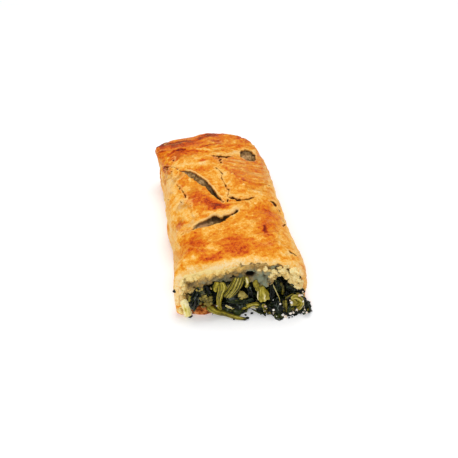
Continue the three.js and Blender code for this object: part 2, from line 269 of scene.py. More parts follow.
rings = []
start = LENGTH - END_ROUND
last = outer_section(start)
centre = last.mean(axis=0)
for row in range(1, END_ROWS + 1):
    angle = math.pi / 2 * (1 - row / (END_ROWS + 0.4))
    power = 2 / end_squareness(last[:, 0], last[:, 1])
    grow = math.cos(angle) ** power
    across = centre[0] + (last[:, 0] - centre[0]) * grow
    y = start + END_ROUND * end_reach(across) * math.sin(angle) ** power
    rings.append(np.stack([across, y, centre[1] + (last[:, 1] - centre[1]) * grow], -1))
for row in range(TUBE_ROWS):
    along = 1 - row / TUBE_ROWS
    ring = outer_section(start * along)
    first = cut_at(ring[:, 0], ring[:, 1]) + rim_round(ring[:, 0], ring[:, 1])
    rings.append(np.stack([ring[:, 0], first + (start - first) * along, ring[:, 1]], -1))
flat = outer_section(0.0)
turn = rim_round(flat[:, 0], flat[:, 1])
for row in range(RIM_ROWS + 1):
    angle = math.pi / 2 * row / RIM_ROWS
    rim = shrunk(flat, turn * (1 - math.cos(angle)))
    y = cut_at(rim[:, 0], rim[:, 1]) + turn * (1 - math.sin(angle))
    rings.append(np.stack([rim[:, 0], y, rim[:, 1]], -1))
mouth = mouth_outline(rim)
for row in range(1, FACE_ROWS + 1):
    share = row / FACE_ROWS
    flat_face = rim + (mouth - rim) * share
    y = cut_at(flat_face[:, 0], flat_face[:, 1]) + MOUTH_FLARE * smooth(0.72, 1.0, share) ** 2
    rings.append(np.stack([flat_face[:, 0], y, flat_face[:, 1]], -1))
cavity = shrunk(resampled(mouth, COLUMNS), np.full(COLUMNS, 1.0))
for row in range(1, CAVITY_ROWS + 1):
    share = row / CAVITY_ROWS
    deep = CAVITY_DEPTH * share**1.6
    smaller = 1.0 if share < 0.9 else 0.55
    inner = mouth * (1 - smooth(0, 0.5, share)) + cavity * smooth(0, 0.5, share)
    inner = (inner - (0, 11)) * smaller + (0, 11)
    y = cut_at(inner[:, 0], inner[:, 1]) + MOUTH_FLARE + deep
    rings.append(np.stack([inner[:, 0], y, inner[:, 1]], -1))
grid = np.array(rings)
first_rim = END_ROWS + TUBE_ROWS
first_face = first_rim + RIM_ROWS + 1
first_cavity = first_face + FACE_ROWS
row_of = np.arange(len(grid))[:, None] + np.zeros(COLUMNS)

# The corner of dough that was pulled out at the far left
near = 4.4 * np.exp(
    -(((grid[..., 0] + 37) ** 2 + (grid[..., 1] - 128) ** 2 + (grid[..., 2] - 31) ** 2) / 46)
)
near = near * (grid[..., 1] > 60)
grid[..., 0] -= near
grid[..., 1] += 0.6 * near

column_run = np.roll(grid, -1, axis=1) - np.roll(grid, 1, axis=1)
row_run = np.gradient(grid, axis=0)
normal = np.cross(column_run, row_run)
normal /= np.linalg.norm(normal, axis=-1, keepdims=True) + 1e-9
X, Y, Z = grid[..., 0], grid[..., 1], grid[..., 2]


def outline_gap(x, y, outline):
    """Distance to a closed outline in the plane, less than zero inside it."""
    points = np.asarray(outline, float)
    ends = np.roll(points, -1, axis=0)
    best = np.full(x.shape, 1e9)
    inside = np.zeros(x.shape, bool)
    for (ax, ay), (bx, by) in zip(points, ends):
        dx, dy = bx - ax, by - ay
        t = np.clip(((x - ax) * dx + (y - ay) * dy) / (dx * dx + dy * dy), 0, 1)
        best = np.minimum(best, np.hypot(x - ax - t * dx, y - ay - t * dy))
        if dy:
            crossing = (ay > y) != (by > y)
            inside ^= crossing & (x < ax + dx * (y - ay) / dy)
    return np.where(inside, -best, best)


def line_gap(x, y, line):
    """Distance to an open line in the plane, and how far along it, from 0 to 1."""
    points = np.asarray(line, float)
    lengths = np.linalg.norm(np.diff(points, axis=0), axis=1)
    begin = np.concatenate([[0.0], np.cumsum(lengths)])
    best = np.full(x.shape, 1e9)
    share = np.zeros(x.shape)
    for k in range(len(points) - 1):
        (ax, ay), (bx, by) = points[k], points[k + 1]
        dx, dy = bx - ax, by - ay
        t = np.clip(((x - ax) * dx + (y - ay) * dy) / (dx * dx + dy * dy), 0, 1)
        gap = np.hypot(x - ax - t * dx, y - ay - t * dy)
        share = np.where(gap < best, (begin[k] + t * lengths[k]) / begin[-1], share)
        best = np.minimum(best, gap)
    return best, share


# Marks on the top are laid out on a level sheet at LAYOUT_Z, as they look from the camera, and
# dropped onto the dough along lines from the camera's place: x, y
LAYOUT_Z = 35.6
CAMERA_PLACE = (-42.6, -209.75, 238.15)
drop_share = (CAMERA_PLACE[2] - LAYOUT_Z) / (CAMERA_PLACE[2] - Z)
PX = CAMERA_PLACE[0] + (X - CAMERA_PLACE[0]) * drop_share
PY = CAMERA_PLACE[1] + (Y - CAMERA_PLACE[1]) * drop_share
FAR_SLASH = [
    (-25.8, 92.4), (-22.9, 92.1), (-20.6, 91.3), (-18.4, 89.9), (-16.0, 87.8), (-14.4, 85.4), (-10.8, 80.2),
    (-8.6, 75.2), (-6.5, 69.1), (-5.3, 64.3), (-4.0, 59.4), (-2.9, 55.2), (-4.9, 57.6), (-6.8, 61.2),
    (-9.0, 67.0), (-11.0, 71.4), (-14.0, 75.6), (-17.2, 80.6), (-20.6, 86.0), (-22.4, 89.2), (-24.6, 90.8),
]
NEAR_SLASH = [
    (-24.0, 31.4), (-21.8, 31.7), (-18.0, 32.2), (-13.7, 32.7), (-9.9, 34.0), (-7.0, 35.2), (-4.2, 36.9),
    (-1.8, 39.0), (0.2, 41.0), (2.5, 42.2), (4.4, 43.8), (5.0, 45.4), (3.4, 45.6), (1.6, 43.2), (0.1, 42.2),
    (-1.8, 41.2), (-3.6, 41.6), (-5.0, 39.6), (-6.6, 39.6), (-7.6, 41.2), (-9.4, 42.2), (-11.4, 41.2),
    (-13.4, 39.5), (-15.6, 38.4), (-17.8, 37.3), (-19.8, 36.2), (-21.4, 34.8), (-22.8, 33.2),
]
VENT = [
    (17.4, 104.5), (17.8, 108.2), (19.2, 110.8), (21.8, 111.4), (24.0, 110.6), (25.8, 108.0), (26.6, 104.4),
    (27.2, 100.2), (26.4, 97.2), (24.0, 96.2), (21.6, 97.0), (19.4, 99.6), (17.8, 102.0),
]
SPLIT = [
    (1.9, 59.9), (3.7, 59.3), (5.0, 57.9), (6.8, 57.0), (8.2, 55.6), (7.6, 53.6), (6.0, 53.6), (5.0, 55.8),
    (3.4, 57.6),
]
# Each crack: its line, half its width, its depth
CRACKS = [
    ([(-2.2, 107.4), (0.6, 106.8), (3.3, 106.2), (6.0, 105.0), (9.0, 105.4), (11.6, 105.0)], 1.6, 1.0),
    ([(0.2, 104.2), (3.2, 103.2), (2.4, 100.6), (3.2, 97.0)], 0.75, 0.8),
    ([(-1.8, 92.5), (0.2, 90.0), (1.4, 87.0), (1.6, 84.8), (0.6, 81.2), (1.2, 76.0), (1.2, 73.0)], 0.2, 0.5),
    ([(-1.6, 92.4), (-0.4, 91.0), (0.2, 90.0)], 0.45, 0.6),
    ([(1.2, 87.2), (1.8, 85.0)], 0.45, 0.5),
    ([(1.4, 73.0), (2.1, 70.4)], 0.3, 0.6),
    ([(2.4, 69.4), (2.9, 67.6), (2.8, 66.4)], 0.5, 0.9),
    ([(2.6, 66.4), (2.2, 64.2), (1.6, 61.8), (1.5, 60.0)], 0.34, 0.8),
    ([(0.9, 57.2), (-0.2, 55.2)], 0.5, 0.8),
    ([(1.7, 60.0), (3.2, 58.6), (5.2, 57.4), (6.6, 55.2), (9.4, 55.0), (12.0, 55.4), (17.2, 56.6)],
     1.05, 1.0),
    ([(-28.6, 78.0), (-27.4, 74.4), (-26.7, 71.9), (-25.2, 68.2), (-24.7, 65.0), (-24.9, 62.6)], 0.55, 0.8),
    ([(-27.4, 60.4), (-28.0, 57.4)], 0.35, 0.5),
    ([(26.2, 51.6), (27.6, 49.8), (28.6, 47.6), (28.6, 45.2)], 1.0, 1.0),
    ([(29.6, 42), (30.0, 38), (30.2, 33), (29.6, 29)], 0.3, 0.5),
    ([(26.8, 5.2), (27.4, 3.4), (28.6, 2.4), (29.6, 0.6)], 0.7, 0.8),
    ([(-28.2, 30.0), (-25.4, 30.8), (-22.4, 32.4)], 0.8, 0.8),
    ([(-30.4, 27.8), (-29.0, 29.2)], 0.6, 0.7),
    ([(-34.4, 100.6), (-31.4, 99.2), (-28.0, 97.0), (-26.0, 94.4)], 0.35, 0.9),
    ([(-35.4, 100.0), (-34.4, 99.2), (-33.4, 97.4)], 0.5, 0.8),
]
# Each pit: x, y, size
PITS = [
    (-28.2, 106.2, 0.65), (-33.0, 99.0, 0.8), (-33.6, 95.8, 0.6), (-31.0, 93.0, 0.5),
    (28.9, 26.6, 0.55), (2.7, 67.4, 0.7), (3.2, 105.9, 0.7), (-34.6, 88, 0.5), (-34.8, 62, 0.3),
    (28.6, 66, 0.4), (-22.5, 54, 0.2), (19, 63, 0.25), (-2.7, 54.8, 0.4),
]
# Edges where the wrapped sheet ends or has folded on itself: line, width, height, and how much painted shadow
# lies below it
RIDGES = [
    ([(-35, 110), (-32.4, 113.6), (-30.2, 116.4), (-26, 119), (-21.7, 120), (-19.2, 119.2), (-17.4, 117),
      (-13, 117.7), (-8.6, 116.5), (-4.2, 114.4), (-1.5, 112.0)], 0.75, 0.8, 0.22),
    ([(-1.5, 112), (2.8, 115.0), (6.6, 116.4), (8.4, 113), (7.6, 107.7)], 0.7, 0.5, 0.1),
    ([(-10, 121.5), (-2, 122.5), (6, 123.5), (12, 125.5), (17, 126.5)], 0.7, 0.5, 0.2),
    ([(-14, 126), (-4, 128.2), (5, 128.6)], 0.6, 0.4, 0.15),
    ([(-27, 122.5), (-18, 124.0), (-8, 124.5)], 0.6, 0.3, 0.15),
    ([(2, 119), (10, 120.6), (18, 120)], 0.6, 0.4, 0.12),
    ([(3, 97), (6, 90), (9.4, 84.5), (12.6, 80.3), (15.6, 75.4), (19, 72.6), (24, 70.6), (29, 67)],
     0.75, 0.6, 0.24),
    ([(1, 100), (8, 95.5), (15, 92), (22, 88), (29, 84)], 0.7, 0.45, 0.16),
    ([(6, 101), (13, 98), (20, 94.5), (27, 91)], 0.7, 0.4, 0.16),
    ([(8, 91), (14, 87), (20, 81), (26, 76)], 0.6, 0.35, 0.12),
    ([(2, 46), (6, 50), (9, 52)], 1.2, 0.4, 0.0),
    ([(-33.5, 97.5), (-27, 98), (-22, 98.8), (-14, 99.0), (-8, 100), (-2, 103)], 1.2, 0.5, 0.0),
    ([(-29, 16), (-22, 14.5), (-16, 13.5), (-9, 14.5)], 0.6, 0.3, 0.06),
    ([(-14, 19), (-6, 21.5), (2, 20.5), (9, 18)], 0.6, 0.25, 0.06),
    ([(-24, 9), (-22, 14), (-19, 18)], 0.6, 0.3, 0.06),
    ([(-31, 92), (-28.5, 84), (-27.2, 76)], 0.8, 0.3, 0.1),
    ([(-32.5, 74), (-31, 66), (-30.2, 58), (-30.6, 50)], 0.8, 0.35, 0.12),
]

on_top = smooth(24, 31, Z) * (row_of < first_rim + 5) * smooth(0.25, 0.7, normal[..., 2])
jag_x = PX + 0.5 * rough(X, Y, 0 * Z, 1.9, 1) + 0.3 * rough(X, Y, 0 * Z, 0.9, 2)
jag_y = PY + 0.5 * rough(X, Y, 0 * Z, 1.9, 3) + 0.3 * rough(X, Y, 0 * Z, 0.9, 4)

far_gap = outline_gap(jag_x, jag_y, FAR_SLASH)
near_gap = outline_gap(jag_x, jag_y, NEAR_SLASH)
vent_gap = outline_gap(jag_x, jag_y, VENT)
split_gap = outline_gap(jag_x, jag_y, SPLIT)
opening = np.minimum(np.minimum(far_gap, near_gap), np.minimum(vent_gap, split_gap))
opening = np.where(on_top > 0.3, opening, FAR_OFF)

FAR_SLASH_DEPTH = 2.4
NEAR_SLASH_DEPTH = 3.6
VENT_DEPTH = 1.8
SPLIT_DEPTH = 1.2
sink = FAR_SLASH_DEPTH * smooth(0.2, -0.9, far_gap) * (0.45 + 0.55 * smooth(96, 60, PY))
sink = sink + 0.7 * smooth(-0.4, -2.4, far_gap)
sink = np.maximum(sink, NEAR_SLASH_DEPTH * smooth(0.2, -0.9, near_gap) * (0.45 + 0.55 * smooth(-24, -10, PX)))
sink = np.maximum(sink, VENT_DEPTH * smooth(0.2, -0.7, vent_gap))
sink = np.maximum(sink, SPLIT_DEPTH * smooth(0.3, -0.6, split_gap))
# Painted shade in the floors of the slashes, the split and the vent, and painted light where it is below zero
shade = smooth(92, 58, PY) * (far_gap < 1)
shade = shade + (split_gap < 1) * 0.1 + (near_gap < 1) * 0.55 * smooth(-13.5, -10.5, PX)
shade = (
    shade
    + (near_gap < 1) * (0.9 * hill(PX + 9.3, PY - 41.8, 2.6, 1.5) + 0.6 * hill(PX + 4, PY - 40.6, 2.2, 1.2))
)
shade = shade + (near_gap < 1) * (0.4 * smooth(0, 4, PX) - 0.9 * hill(PX + 18, PY - 36.5, 4.5, 3.0))
shade = (
    shade - (far_gap < 1) * 0.8 * smooth(88, 93, PY)
    - (vent_gap < 1) * 0.4 * hill(PX - 21, PY - 104, 3.4, 5)
)
shade = np.clip(shade, -1, 1)
shade = shade + (vent_gap < 1) * 1.0 * smooth(2.0, 4.4, (PX - 22.8) + 0.35 * (PY - 104))
above_far = smooth(-2.0, 2.5, (PX + 13) * 0.88 + (PY - 77) * 0.47)
above_near = smooth(-1.5, 1.5, (PY - 38.4) - 0.34 * (PX + 10))
lip = 0.6 * np.exp(-(((far_gap - 0.9) / 0.8) ** 2)) * (0.3 + 0.7 * above_far)
lip = lip + 0.8 * np.exp(-(((near_gap - 1.1) / 1.1) ** 2)) * (0.2 + 0.8 * above_near)
lip = lip + 0.3 * np.exp(-(((vent_gap - 0.8) / 0.6) ** 2))

crack = np.full(X.shape, FAR_OFF)
crack_sink = np.zeros(X.shape)
for line, width, depth in CRACKS:
    gap, share = line_gap(jag_x, jag_y, line)
    beads = 0.6 + 0.95 * rough(X, Y, 0 * Z, 1.7, 5) + 0.3 * rough(X, Y, 0 * Z, 5, 65)
    beads = np.maximum(beads, 0.62 if depth > 0.95 else -1.0)
    width_here = width * beads * (1 - 0.7 * np.abs(2 * share - 1) ** 3)
    crack = np.minimum(crack, gap - width_here)
    crack_sink = np.maximum(crack_sink, depth * smooth(0.9, -0.1, gap - width_here))
for cx, cy, size in PITS:
    gap = np.hypot(jag_x - cx, jag_y - cy) - size
    crack = np.minimum(crack, gap)
    crack_sink = np.maximum(crack_sink, 0.7 * smooth(0.7, -0.4, gap))
crack = np.where((row_of < first_rim + 5) & (Z > 26), crack, FAR_OFF)

ridge = np.zeros(X.shape)
below = np.zeros(X.shape)
for line, width, height, dark in RIDGES:
    near_x = PX + 0.6 * rough(X, Y, 0 * Z, 5, 6)
    near_y = PY + 0.6 * rough(X, Y, 0 * Z, 5, 7)
    gap, share = line_gap(near_x, near_y, line)
    ends = smooth(0, 0.1, share) * smooth(1, 0.9, share)
    ridge = ridge + height * np.exp(-((gap / width) ** 2)) * ends
    # The band just below each ridge: painted shadow there, and a slight dip
    gap, share = line_gap(near_x, near_y + 1.5, line)
    below = np.maximum(below, dark * np.exp(-((gap / 1.1) ** 2)) * ends)


def streaks(angle, long, short, seed):
    """Noise drawn out along a direction on the top, in degrees from x."""
    c, s = math.cos(math.radians(angle)), math.sin(math.radians(angle))
    return rough((PX * c + PY * s) / long, (PY * c - PX * s) / short, Z / 6.0, 1.0, seed)


at_back = smooth(0.2, 0.7, normal[..., 1]) * (Y > 120)
far_part = smooth(104, 120, PY)
right_part = smooth(0, 9, PX + 0.45 * (PY - 90)) * smooth(56, 66, PY) * smooth(110, 102, PY)
left_part = smooth(-16, -26, PX) * smooth(30, 44, PY) * (1 - far_part)
rest_part = np.clip(1 - far_part - right_part - left_part, 0, 1)
streak = (
    far_part * (streaks(9, 14, 1.5, 8) + 0.6 * streaks(14, 8, 0.8, 9))
    + right_part * (streaks(-27, 15, 1.6, 10) + 0.6 * streaks(-24, 8, 0.9, 11))
    + left_part * (streaks(62, 12, 1.5, 12) + 0.6 * streaks(58, 7, 0.8, 13))
    + rest_part * 0.5 * (streaks(18, 9, 2.0, 14) + 0.6 * streaks(12, 5, 1.0, 15))
)
streak = np.sign(streak) * np.abs(streak) ** 0.75 * (1 - at_back)
# Wrinkle lines run where this crosses zero, along the way the sheet was stretched
vein = (
    far_part * streaks(10, 17, 3.2, 60)
    + right_part * streaks(-27, 18, 3.4, 61)
    + left_part * streaks(61, 15, 3.2, 62)
    + rest_part * streaks(17, 9, 4.2, 63)
)
veiny = smooth(-0.5, 0.3, rough(X, Y, Z, 9, 64)) * (1 - 0.65 * rest_part) * smooth(0.1, 0.5, normal[..., 2])
veiny = veiny * (row_of < first_rim) * (1 - at_back) * (1 - 0.4 * right_part)
veined = np.exp(-((vein / 0.17) ** 2)) * veiny
skin = smooth(0.5, 4.0, Z) * (row_of < first_face)
upright = 1 - np.abs(normal[..., 2])
swell = 0.4 * rough(X, Y, Z, 11, 16) + 0.3 * rough(X, Y, Z, 5, 17) + 0.16 * rough(X, Y, Z, 2.4, 18)
swell = swell + 0.08 * rough(X, Y, Z, 1.2, 19)
thin_lines = smooth(0.16, 0.0, np.abs(rough(X, Y * 1.9, Z, 5.5, 33) + 0.3 * rough(X, Y, Z, 2.0, 34)))
thin_lines = thin_lines * smooth(-0.2, 0.5, rough(X, Y, Z, 12, 35)) * smooth(0.3, 0.7, normal[..., 2])
thin_lines = thin_lines * smooth(134, 126, Y)
wrinkle = (0.22 + 0.12 * far_part + 0.1 * right_part) * streak * smooth(0.1, 0.6, normal[..., 2])
wrinkle = wrinkle + 0.22 * thin_lines + 0.34 * veined + 0.2 * vein * veiny
side_fold = 0.5 * upright * rough(X, Y / 3.0, Z * 1.6, 4.0, 20) * smooth(2, 8, Z)
# The sheet's free edge, low along the right side and across the back where it was tucked under
past_edge = Z - 11 - 3.4 * rough(X, Y, 0 * Z, 26, 73) - 0.6 * rough(X, Y, Z, 4, 74)
lapped = np.maximum(smooth(24, 30, X), at_back) * upright * (row_of < first_rim) * smooth(4, 12, Y)
side_fold = side_fold + 0.8 * lapped * smooth(-0.5, 0.4, past_edge) * smooth(12, 0, past_edge)
seam = lapped * hill(past_edge + 0.5, 0, 0.7)
seam_lip = lapped * hill(past_edge - 0.9, 0, 0.8)
# Creases that run up the sides, and blisters where steam lifted the skin
crease_way = rough(X, Y, Z / 7.0, 3.6, 75) + 0.4 * rough(X, Y, Z / 4.0, 1.6, 76)
creases = (
    smooth(0.22, 0.0, np.abs(crease_way)) * smooth(-0.1, 0.6, rough(X, Y, Z, 15, 77)) * upright
    * smooth(3, 8, Z)
)
side_fold = side_fold - 0.45 * creases
blister, blister_own, _ = crumbs(X, Y, Z, 5.2, 78)
blister = smooth(0.5, 0.95, blister) * (blister_own > 0.7) * (0.35 + 0.65 * upright)
lift = skin * (swell + wrinkle + side_fold + 0.5 * blister + on_top * (ridge + lip - 0.4 * below))
drop = on_top * sink + skin * np.where(Z > 24, crack_sink, 0.0) * smooth(9, 8, crack)
# Torn dough in the corner under the folded end at the left
rent_reach = (
    ((Y - 101) / 7.0) ** 2 + ((Z - 26) / 6.0) ** 2 + 0.45 * rough(X, Y, Z, 3.4, 66)
    + 0.25 * rough(X, Y, Z, 1.4, 79)
)
rent = smooth(1.0, 0.55, rent_reach) * (X < -30) * (row_of < first_rim)

# The torn face: crumbly dough with soaked lumps, pores and two holes, with painted shade in its crevices, in
# its holes and deeper in behind the cut
ragged = smooth(-8, 0, X) * smooth(31, 24, X) * smooth(26, 29, Z)
frayed = row_of + 1.5 * rough(X, Y, Z, 3.0, 21) + ragged * 2.8 * rough(X, Y, Z, 2.0, 67)
torn = smooth(first_rim + 5, first_face + 3, frayed)
rolled_in = smooth(-33.9, -35.1, X + 0.6 * rough(X, Y, Z, 2.5, 68)) * smooth(5, 8, Z) * smooth(30, 24, Z)
torn = torn * (1 - rolled_in)
torn = torn * (1 - 0.85 * smooth(31.6, 33.8, X + 0.8 * rough(X, Y, Z, 2.2, 72)) * smooth(9, 12, Z))
share = np.clip((row_of - first_face) / FACE_ROWS, 0, 1)
in_face = smooth(0, 0.12, share) * (row_of >= first_face)
fade_base = smooth(0.2, 2.5, Z)
bent = 0.5 * rough(X, Y, Z, 1.3, 70)
big, big_own, big_edge = crumbs(X + bent, Y * 0.6, Z + bent, 4.6, 1)
mid, mid_own, mid_edge = crumbs(X + bent, Y * 0.6, Z - bent, 2.5, 2)
small, small_own, _ = crumbs(X, Y, Z, 1.3, 3)
looseness = (0.7 + 0.8 * smooth(10, 18, X) - 0.3 * hill(X - 10, Z - 20, 7)) * (1 - 0.8 * rolled_in)
face_lift = (
    (big - 0.55) * 1.7 * (0.6 + big_own) + (mid - 0.5) * 1.1 * looseness
    + (small - 0.5) * 0.55 * looseness
)
face_lift = face_lift - 0.9 * smooth(0.22, 0.02, big_edge) - 0.5 * smooth(0.2, 0.02, mid_edge) * looseness
face_lift = face_lift + 2.4 * hill(X - 10.5, Z - 20, 7.5, 6)
face_lift = face_lift - 1.3 * smooth(-6, 8, X) * smooth(0.5, 0.05, share)
pit = (
    1.7 * hill(X - 4.0, Z - 25.4, 2.2, 1.8) + 1.3 * hill(X + 5.2, Z - 23.4, 2.1, 0.8)
    + 0.7 * hill(X - 12.2, Z - 24.4, 0.9)
)
face_lift = face_lift * (1 - np.clip(pit, 0, 1)) - 2.6 * pit
face_lift = face_lift * in_face * fade_base * (1 - 0.7 * rolled_in)
from_cut = Y - cut_at(X, Z)
glaze = (
    smooth(8.0, 5.0, Z) * np.minimum(1, 1.4 * hill(X + 23.4, 0, 7.5)) * (from_cut < 6)
    * smooth(1.1, 0.6, torn * (Z > 6))
)
in_slash = smooth(-0.2, -0.9, opening) * on_top
lift = lift + in_slash * ((mid - 0.5) * 1.0 + (small - 0.5) * 0.7)
lift = (
    lift + glaze * ((mid - 0.5) * 0.9 + (small - 0.5) * 0.5)
    + rent * ((mid - 0.5) * 1.0 + (small - 0.5) * 0.6 - 1.0)
)

X_new = X + normal[..., 0] * (lift + face_lift * 0.5)
Y_new = Y + normal[..., 1] * lift - face_lift * 0.9
Z_new = Z + normal[..., 2] * (lift + face_lift * 0.3) - drop
Z_new = np.where(Z <= 0.001, 0.0, np.maximum(Z_new, 0.0))
shape = np.stack([X_new, Y_new, Z_new], -1)

# How far each spot has baked, from pale dough at 0 to nearly burnt at 1: x, y, reach x, reach y, amount
BROWNED = [
    (-6.5, 50.0, 7.0, 3.0, 0.36), (-10, 54, 5, 4, 0.16), (-22, 60, 6, 8, 0.2), (-18, 66, 4, 5, 0.06),
    (-24, 22, 4, 5, 0.22), (-22, 15.5, 4.5, 4, 0.2), (-19, 18, 4, 6, 0.08), (-6.5, 17, 5, 3.5, 0.2),
    (0, 20, 5, 4, 0.2), (2, 16.5, 5, 3.5, 0.12), (-0.5, 10, 5, 3.5, 0.22), (-6, 11, 5, 4, 0.1),
    (-17, 6, 6, 3, 0.28), (-12, 4, 5, 2.5, 0.2), (-26, 11, 4, 4, 0.16), (12, 11, 8, 4, 0.08),
    (20, 19, 4, 6, 0.12), (17.5, 27, 3, 6, 0.12), (22, 40, 4, 6, 0.2), (18, 45, 4, 3, 0.14),
    (14, 38, 4, 3, 0.12), (10, 40, 5, 4, 0.06), (-31, 37.5, 2, 4, 0.2), (29.5, 89, 2, 5, 0.3),
    (15, 77, 5, 2.4, 0.12), (24, 69, 5, 2.0, 0.04), (13, 68, 3, 4, 0.1), (10, 100, 8, 3, 0.12),
    (27, 95, 2, 4, 0.1), (-22, 118, 5, 2.4, 0.34), (-12, 114.5, 9, 3, 0.2), (-27, 113, 5, 5, 0.22),
    (-35, 114, 3, 7, 0.2), (-34, 121, 4, 5, 0.26), (-25, 127.5, 7, 3, 0.4), (-17, 128.5, 6, 2.4, 0.26),
    (-20, 123, 7, 1.6, 0.16), (-34, 126.5, 5, 3, 0.3), (-4, 124, 8, 3, 0.1), (2, 134, 5, 4, 0.24),
    (14, 120, 4, 4, 0.1), (26, 120, 3, 6, 0.14), (-35, 95, 2, 4, 0.3), (-33, 99, 2.5, 3, 0.3),
    (2, 103, 4, 5, 0.2), (-7.5, 101.5, 3, 3, 0.34), (22.5, 97, 3, 1.6, 0.2), (-36, 95, 2, 5, 0.3),
    (22, 96.5, 4, 2.5, 0.22), (-26, 125.6, 6, 3, 0.26), (-15, 122, 4, 2.4, 0.16),
    (-4, 133.5, 5, 2.5, 0.24), (8, 132.4, 5, 2.4, 0.2), (22.5, 127.5, 3.5, 3, 0.2),
    (-21, 114, 3, 2.4, 0.12), (-28.5, 107.5, 2.5, 3, 0.2), (-2, 117.5, 2, 2, 0.16),
    (0.5, 105.5, 2.4, 2, 0.16), (-25, 80, 2.6, 7, 0.14), (-6.5, 74, 2.4, 7, 0.12),
    (-14, 60, 5, 3.4, 0.26), (-10, 55.6, 5, 3, 0.22), (-5, 52, 4, 2, 0.16), (-23, 59.5, 3, 3, 0.14),
    (-31, 36, 2, 3, 0.12), (29.4, 36, 2, 4, 0.2), (29, 48, 1.6, 4, 0.12), (18, 31, 4, 3, 0.14),
    (13, 22, 3.4, 3, 0.2), (9, 33, 3, 2, 0.12), (0, 22, 4, 2, 0.12), (-28, 19, 3, 3, 0.1),
    (-2, 15.4, 8, 2, 0.16), (-9, 10, 3, 2, 0.12), (-1, 8, 4, 2, 0.1), (-0.4, 62, 1.4, 1.6, 0.26),
    (-13, 112, 3, 3, 0.1), (19, 100, 4, 2, 0.1), (18, 86, 3, 4, 0.08), (23, 62, 5, 7, 0.07),
    (27, 27, 4, 10, 0.06), (20, 6, 8, 3, 0.08), (-19, 74, 2.4, 7, 0.09), (0, 21, 6, 3, 0.05),
    (-8, 120, 8, 3, 0.05),
]
# Spots that are paler than that, in the same order
PALE = [
    (1.4, 64, 2.4, 5, 0.06), (-14, 98, 14, 3.2, 0.26), (-5, 80, 3, 13, 0.14), (-1, 62, 5, 4, 0.22),
    (-31, 80, 4, 12, 0.12), (-29, 54, 5, 9, 0.2), (-22, 46, 5, 3, 0.14), (-9, 45, 9, 1.8, 0.26),
    (-25, 40, 5, 4.4, 0.36), (6, 48, 5, 2.6, 0.2), (9, 59, 7, 2.6, 0.14), (22, 60, 6, 6, 0.12),
    (2, 88, 4, 8, 0.24), (5, 34, 6, 5, 0.1), (9, 25, 5, 5, 0.12), (-14, 27, 5, 3, 0.14),
    (25, 15, 4, 6, 0.26), (24, 3, 6, 4, 0.24), (-5, 115, 6, 3, 0.24), (8, 109, 8, 2.4, 0.2),
    (-10, 106, 6, 2, 0.1), (-24, 103, 6, 3, 0.1), (14, 125, 5, 2.5, 0.16), (14, 130, 6, 4, 0.2),
    (-26, 8, 3, 4, 0.12), (-13, 13, 4, 3, 0.16), (13, 31, 4, 3, 0.16), (13, 18, 4, 3, 0.2),
    (12, 96, 6, 2.4, 0.16), (22, 88, 5, 4, 0.12), (20, 78, 5, 4, 0.2), (-29, 68, 4, 7, 0.14),
    (-21, 72, 3, 4, 0.16), (27, 106, 2, 7, 0.2), (0.5, 53, 3, 2, 0.2), (13, 106.5, 5, 1.6, 0.2),
    (-7, 117, 4, 3, 0.14), (-31, 117, 4, 2.4, 0.22), (4, 123, 4, 3, 0.14), (15.5, 108.5, 4, 2.8, 0.3),
    (23, 107, 2.4, 3, 0.2), (-31, 85, 3.4, 6, 0.14), (-1.2, 86.5, 1.4, 4, 0.3), (6, 73, 3, 3, 0.18),
    (22, 70, 4, 2.4, 0.2), (-22, 68, 2.4, 3, 0.1), (-27, 51, 5, 5, 0.2), (-33, 45, 2.4, 4, 0.16),
    (-4, 44.8, 6, 1.5, 0.3), (-25.5, 34.6, 4, 2.2, 0.26), (-31, 27, 2.4, 4, 0.22),
    (25, 20, 3.4, 5, 0.16), (-25, 7, 5, 2, 0.16), (23, 2, 4, 3, 0.14), (22, 55, 3, 7, 0.12),
    (-33, 72, 3, 13, 0.16), (-34, 25, 2, 8, 0.1), (-7, 61.5, 1.6, 3, 0.2), (-35, 5, 2, 4, 0.12),
    (2, 40, 2, 1.4, 0.16), (-19.6, 79.6, 1.0, 1.2, 0.4),
]
# Pale flecks strewn over the middle of the crust: x, y, size
FLECK_COUNT = 10
strewn = np.random.default_rng(14)
FLECKS = [
    (strewn.uniform(-24, 18), strewn.uniform(26, 106), strewn.uniform(0.7, 1.2))
    for _ in range(FLECK_COUNT)
]
# Scorched spots: x, y, reach x, reach y, amount
SCORCHES = [(17.4, 24.6, 1.1, 4.2, 0.5), (-5.4, 52.2, 4.5, 1.6, 0.2), (-30.6, 36.2, 1.4, 2.8, 0.3)]
wx = PX + 1.6 * rough(X, Y, Z, 4, 22) + 0.9 * rough(X, Y, Z, 1.8, 23)
wy = PY + 1.6 * rough(X, Y, Z, 4, 24) + 0.9 * rough(X, Y, Z, 1.8, 25)
bake = (
    0.47 + 0.06 * rough(X, Y, Z, 15, 26) + (0.09 - 0.03 * rest_part) * rough(X, Y, Z, 6, 27)
    + 0.08 * rough(X, Y, Z, 2.6, 28)
)
# Paler along the wrinkle lines, a painted highlight
bake = (
    bake + 0.07 * rough(X, Y, Z, 1.2, 29) - (0.2 - 0.1 * rest_part) * thin_lines * (1 - 0.6 * right_part)
    - 0.14 * veined
)
# Painted shade on one side of each wrinkle line, and painted shadow below each ridge
bake = bake + 0.12 * smooth(0.05, 0.6, vein) * veiny + below
bake = bake - (0.1 + 0.08 * far_part + 0.03 * right_part) * streak * smooth(0.2, 0.7, normal[..., 2])
for cx, cy, rx, ry, amount in BROWNED:
    bake = bake + amount * hill(wx - cx, wy - cy, rx, ry) * smooth(18, 30, Z)
for cx, cy, rx, ry, amount in PALE:
    bake = bake - amount * hill(wx - cx, wy - cy, rx, ry) * smooth(18, 30, Z)
bake = bake + 0.1 * smooth(118, 122, PY) + 0.08 * smooth(125, 137, Y) * smooth(16, 30, Z)
bake = bake - 0.13 * smooth(27, 34, X) * smooth(110, 90, Y) - 0.1 * smooth(-30, -36, X) * smooth(118, 100, Y)
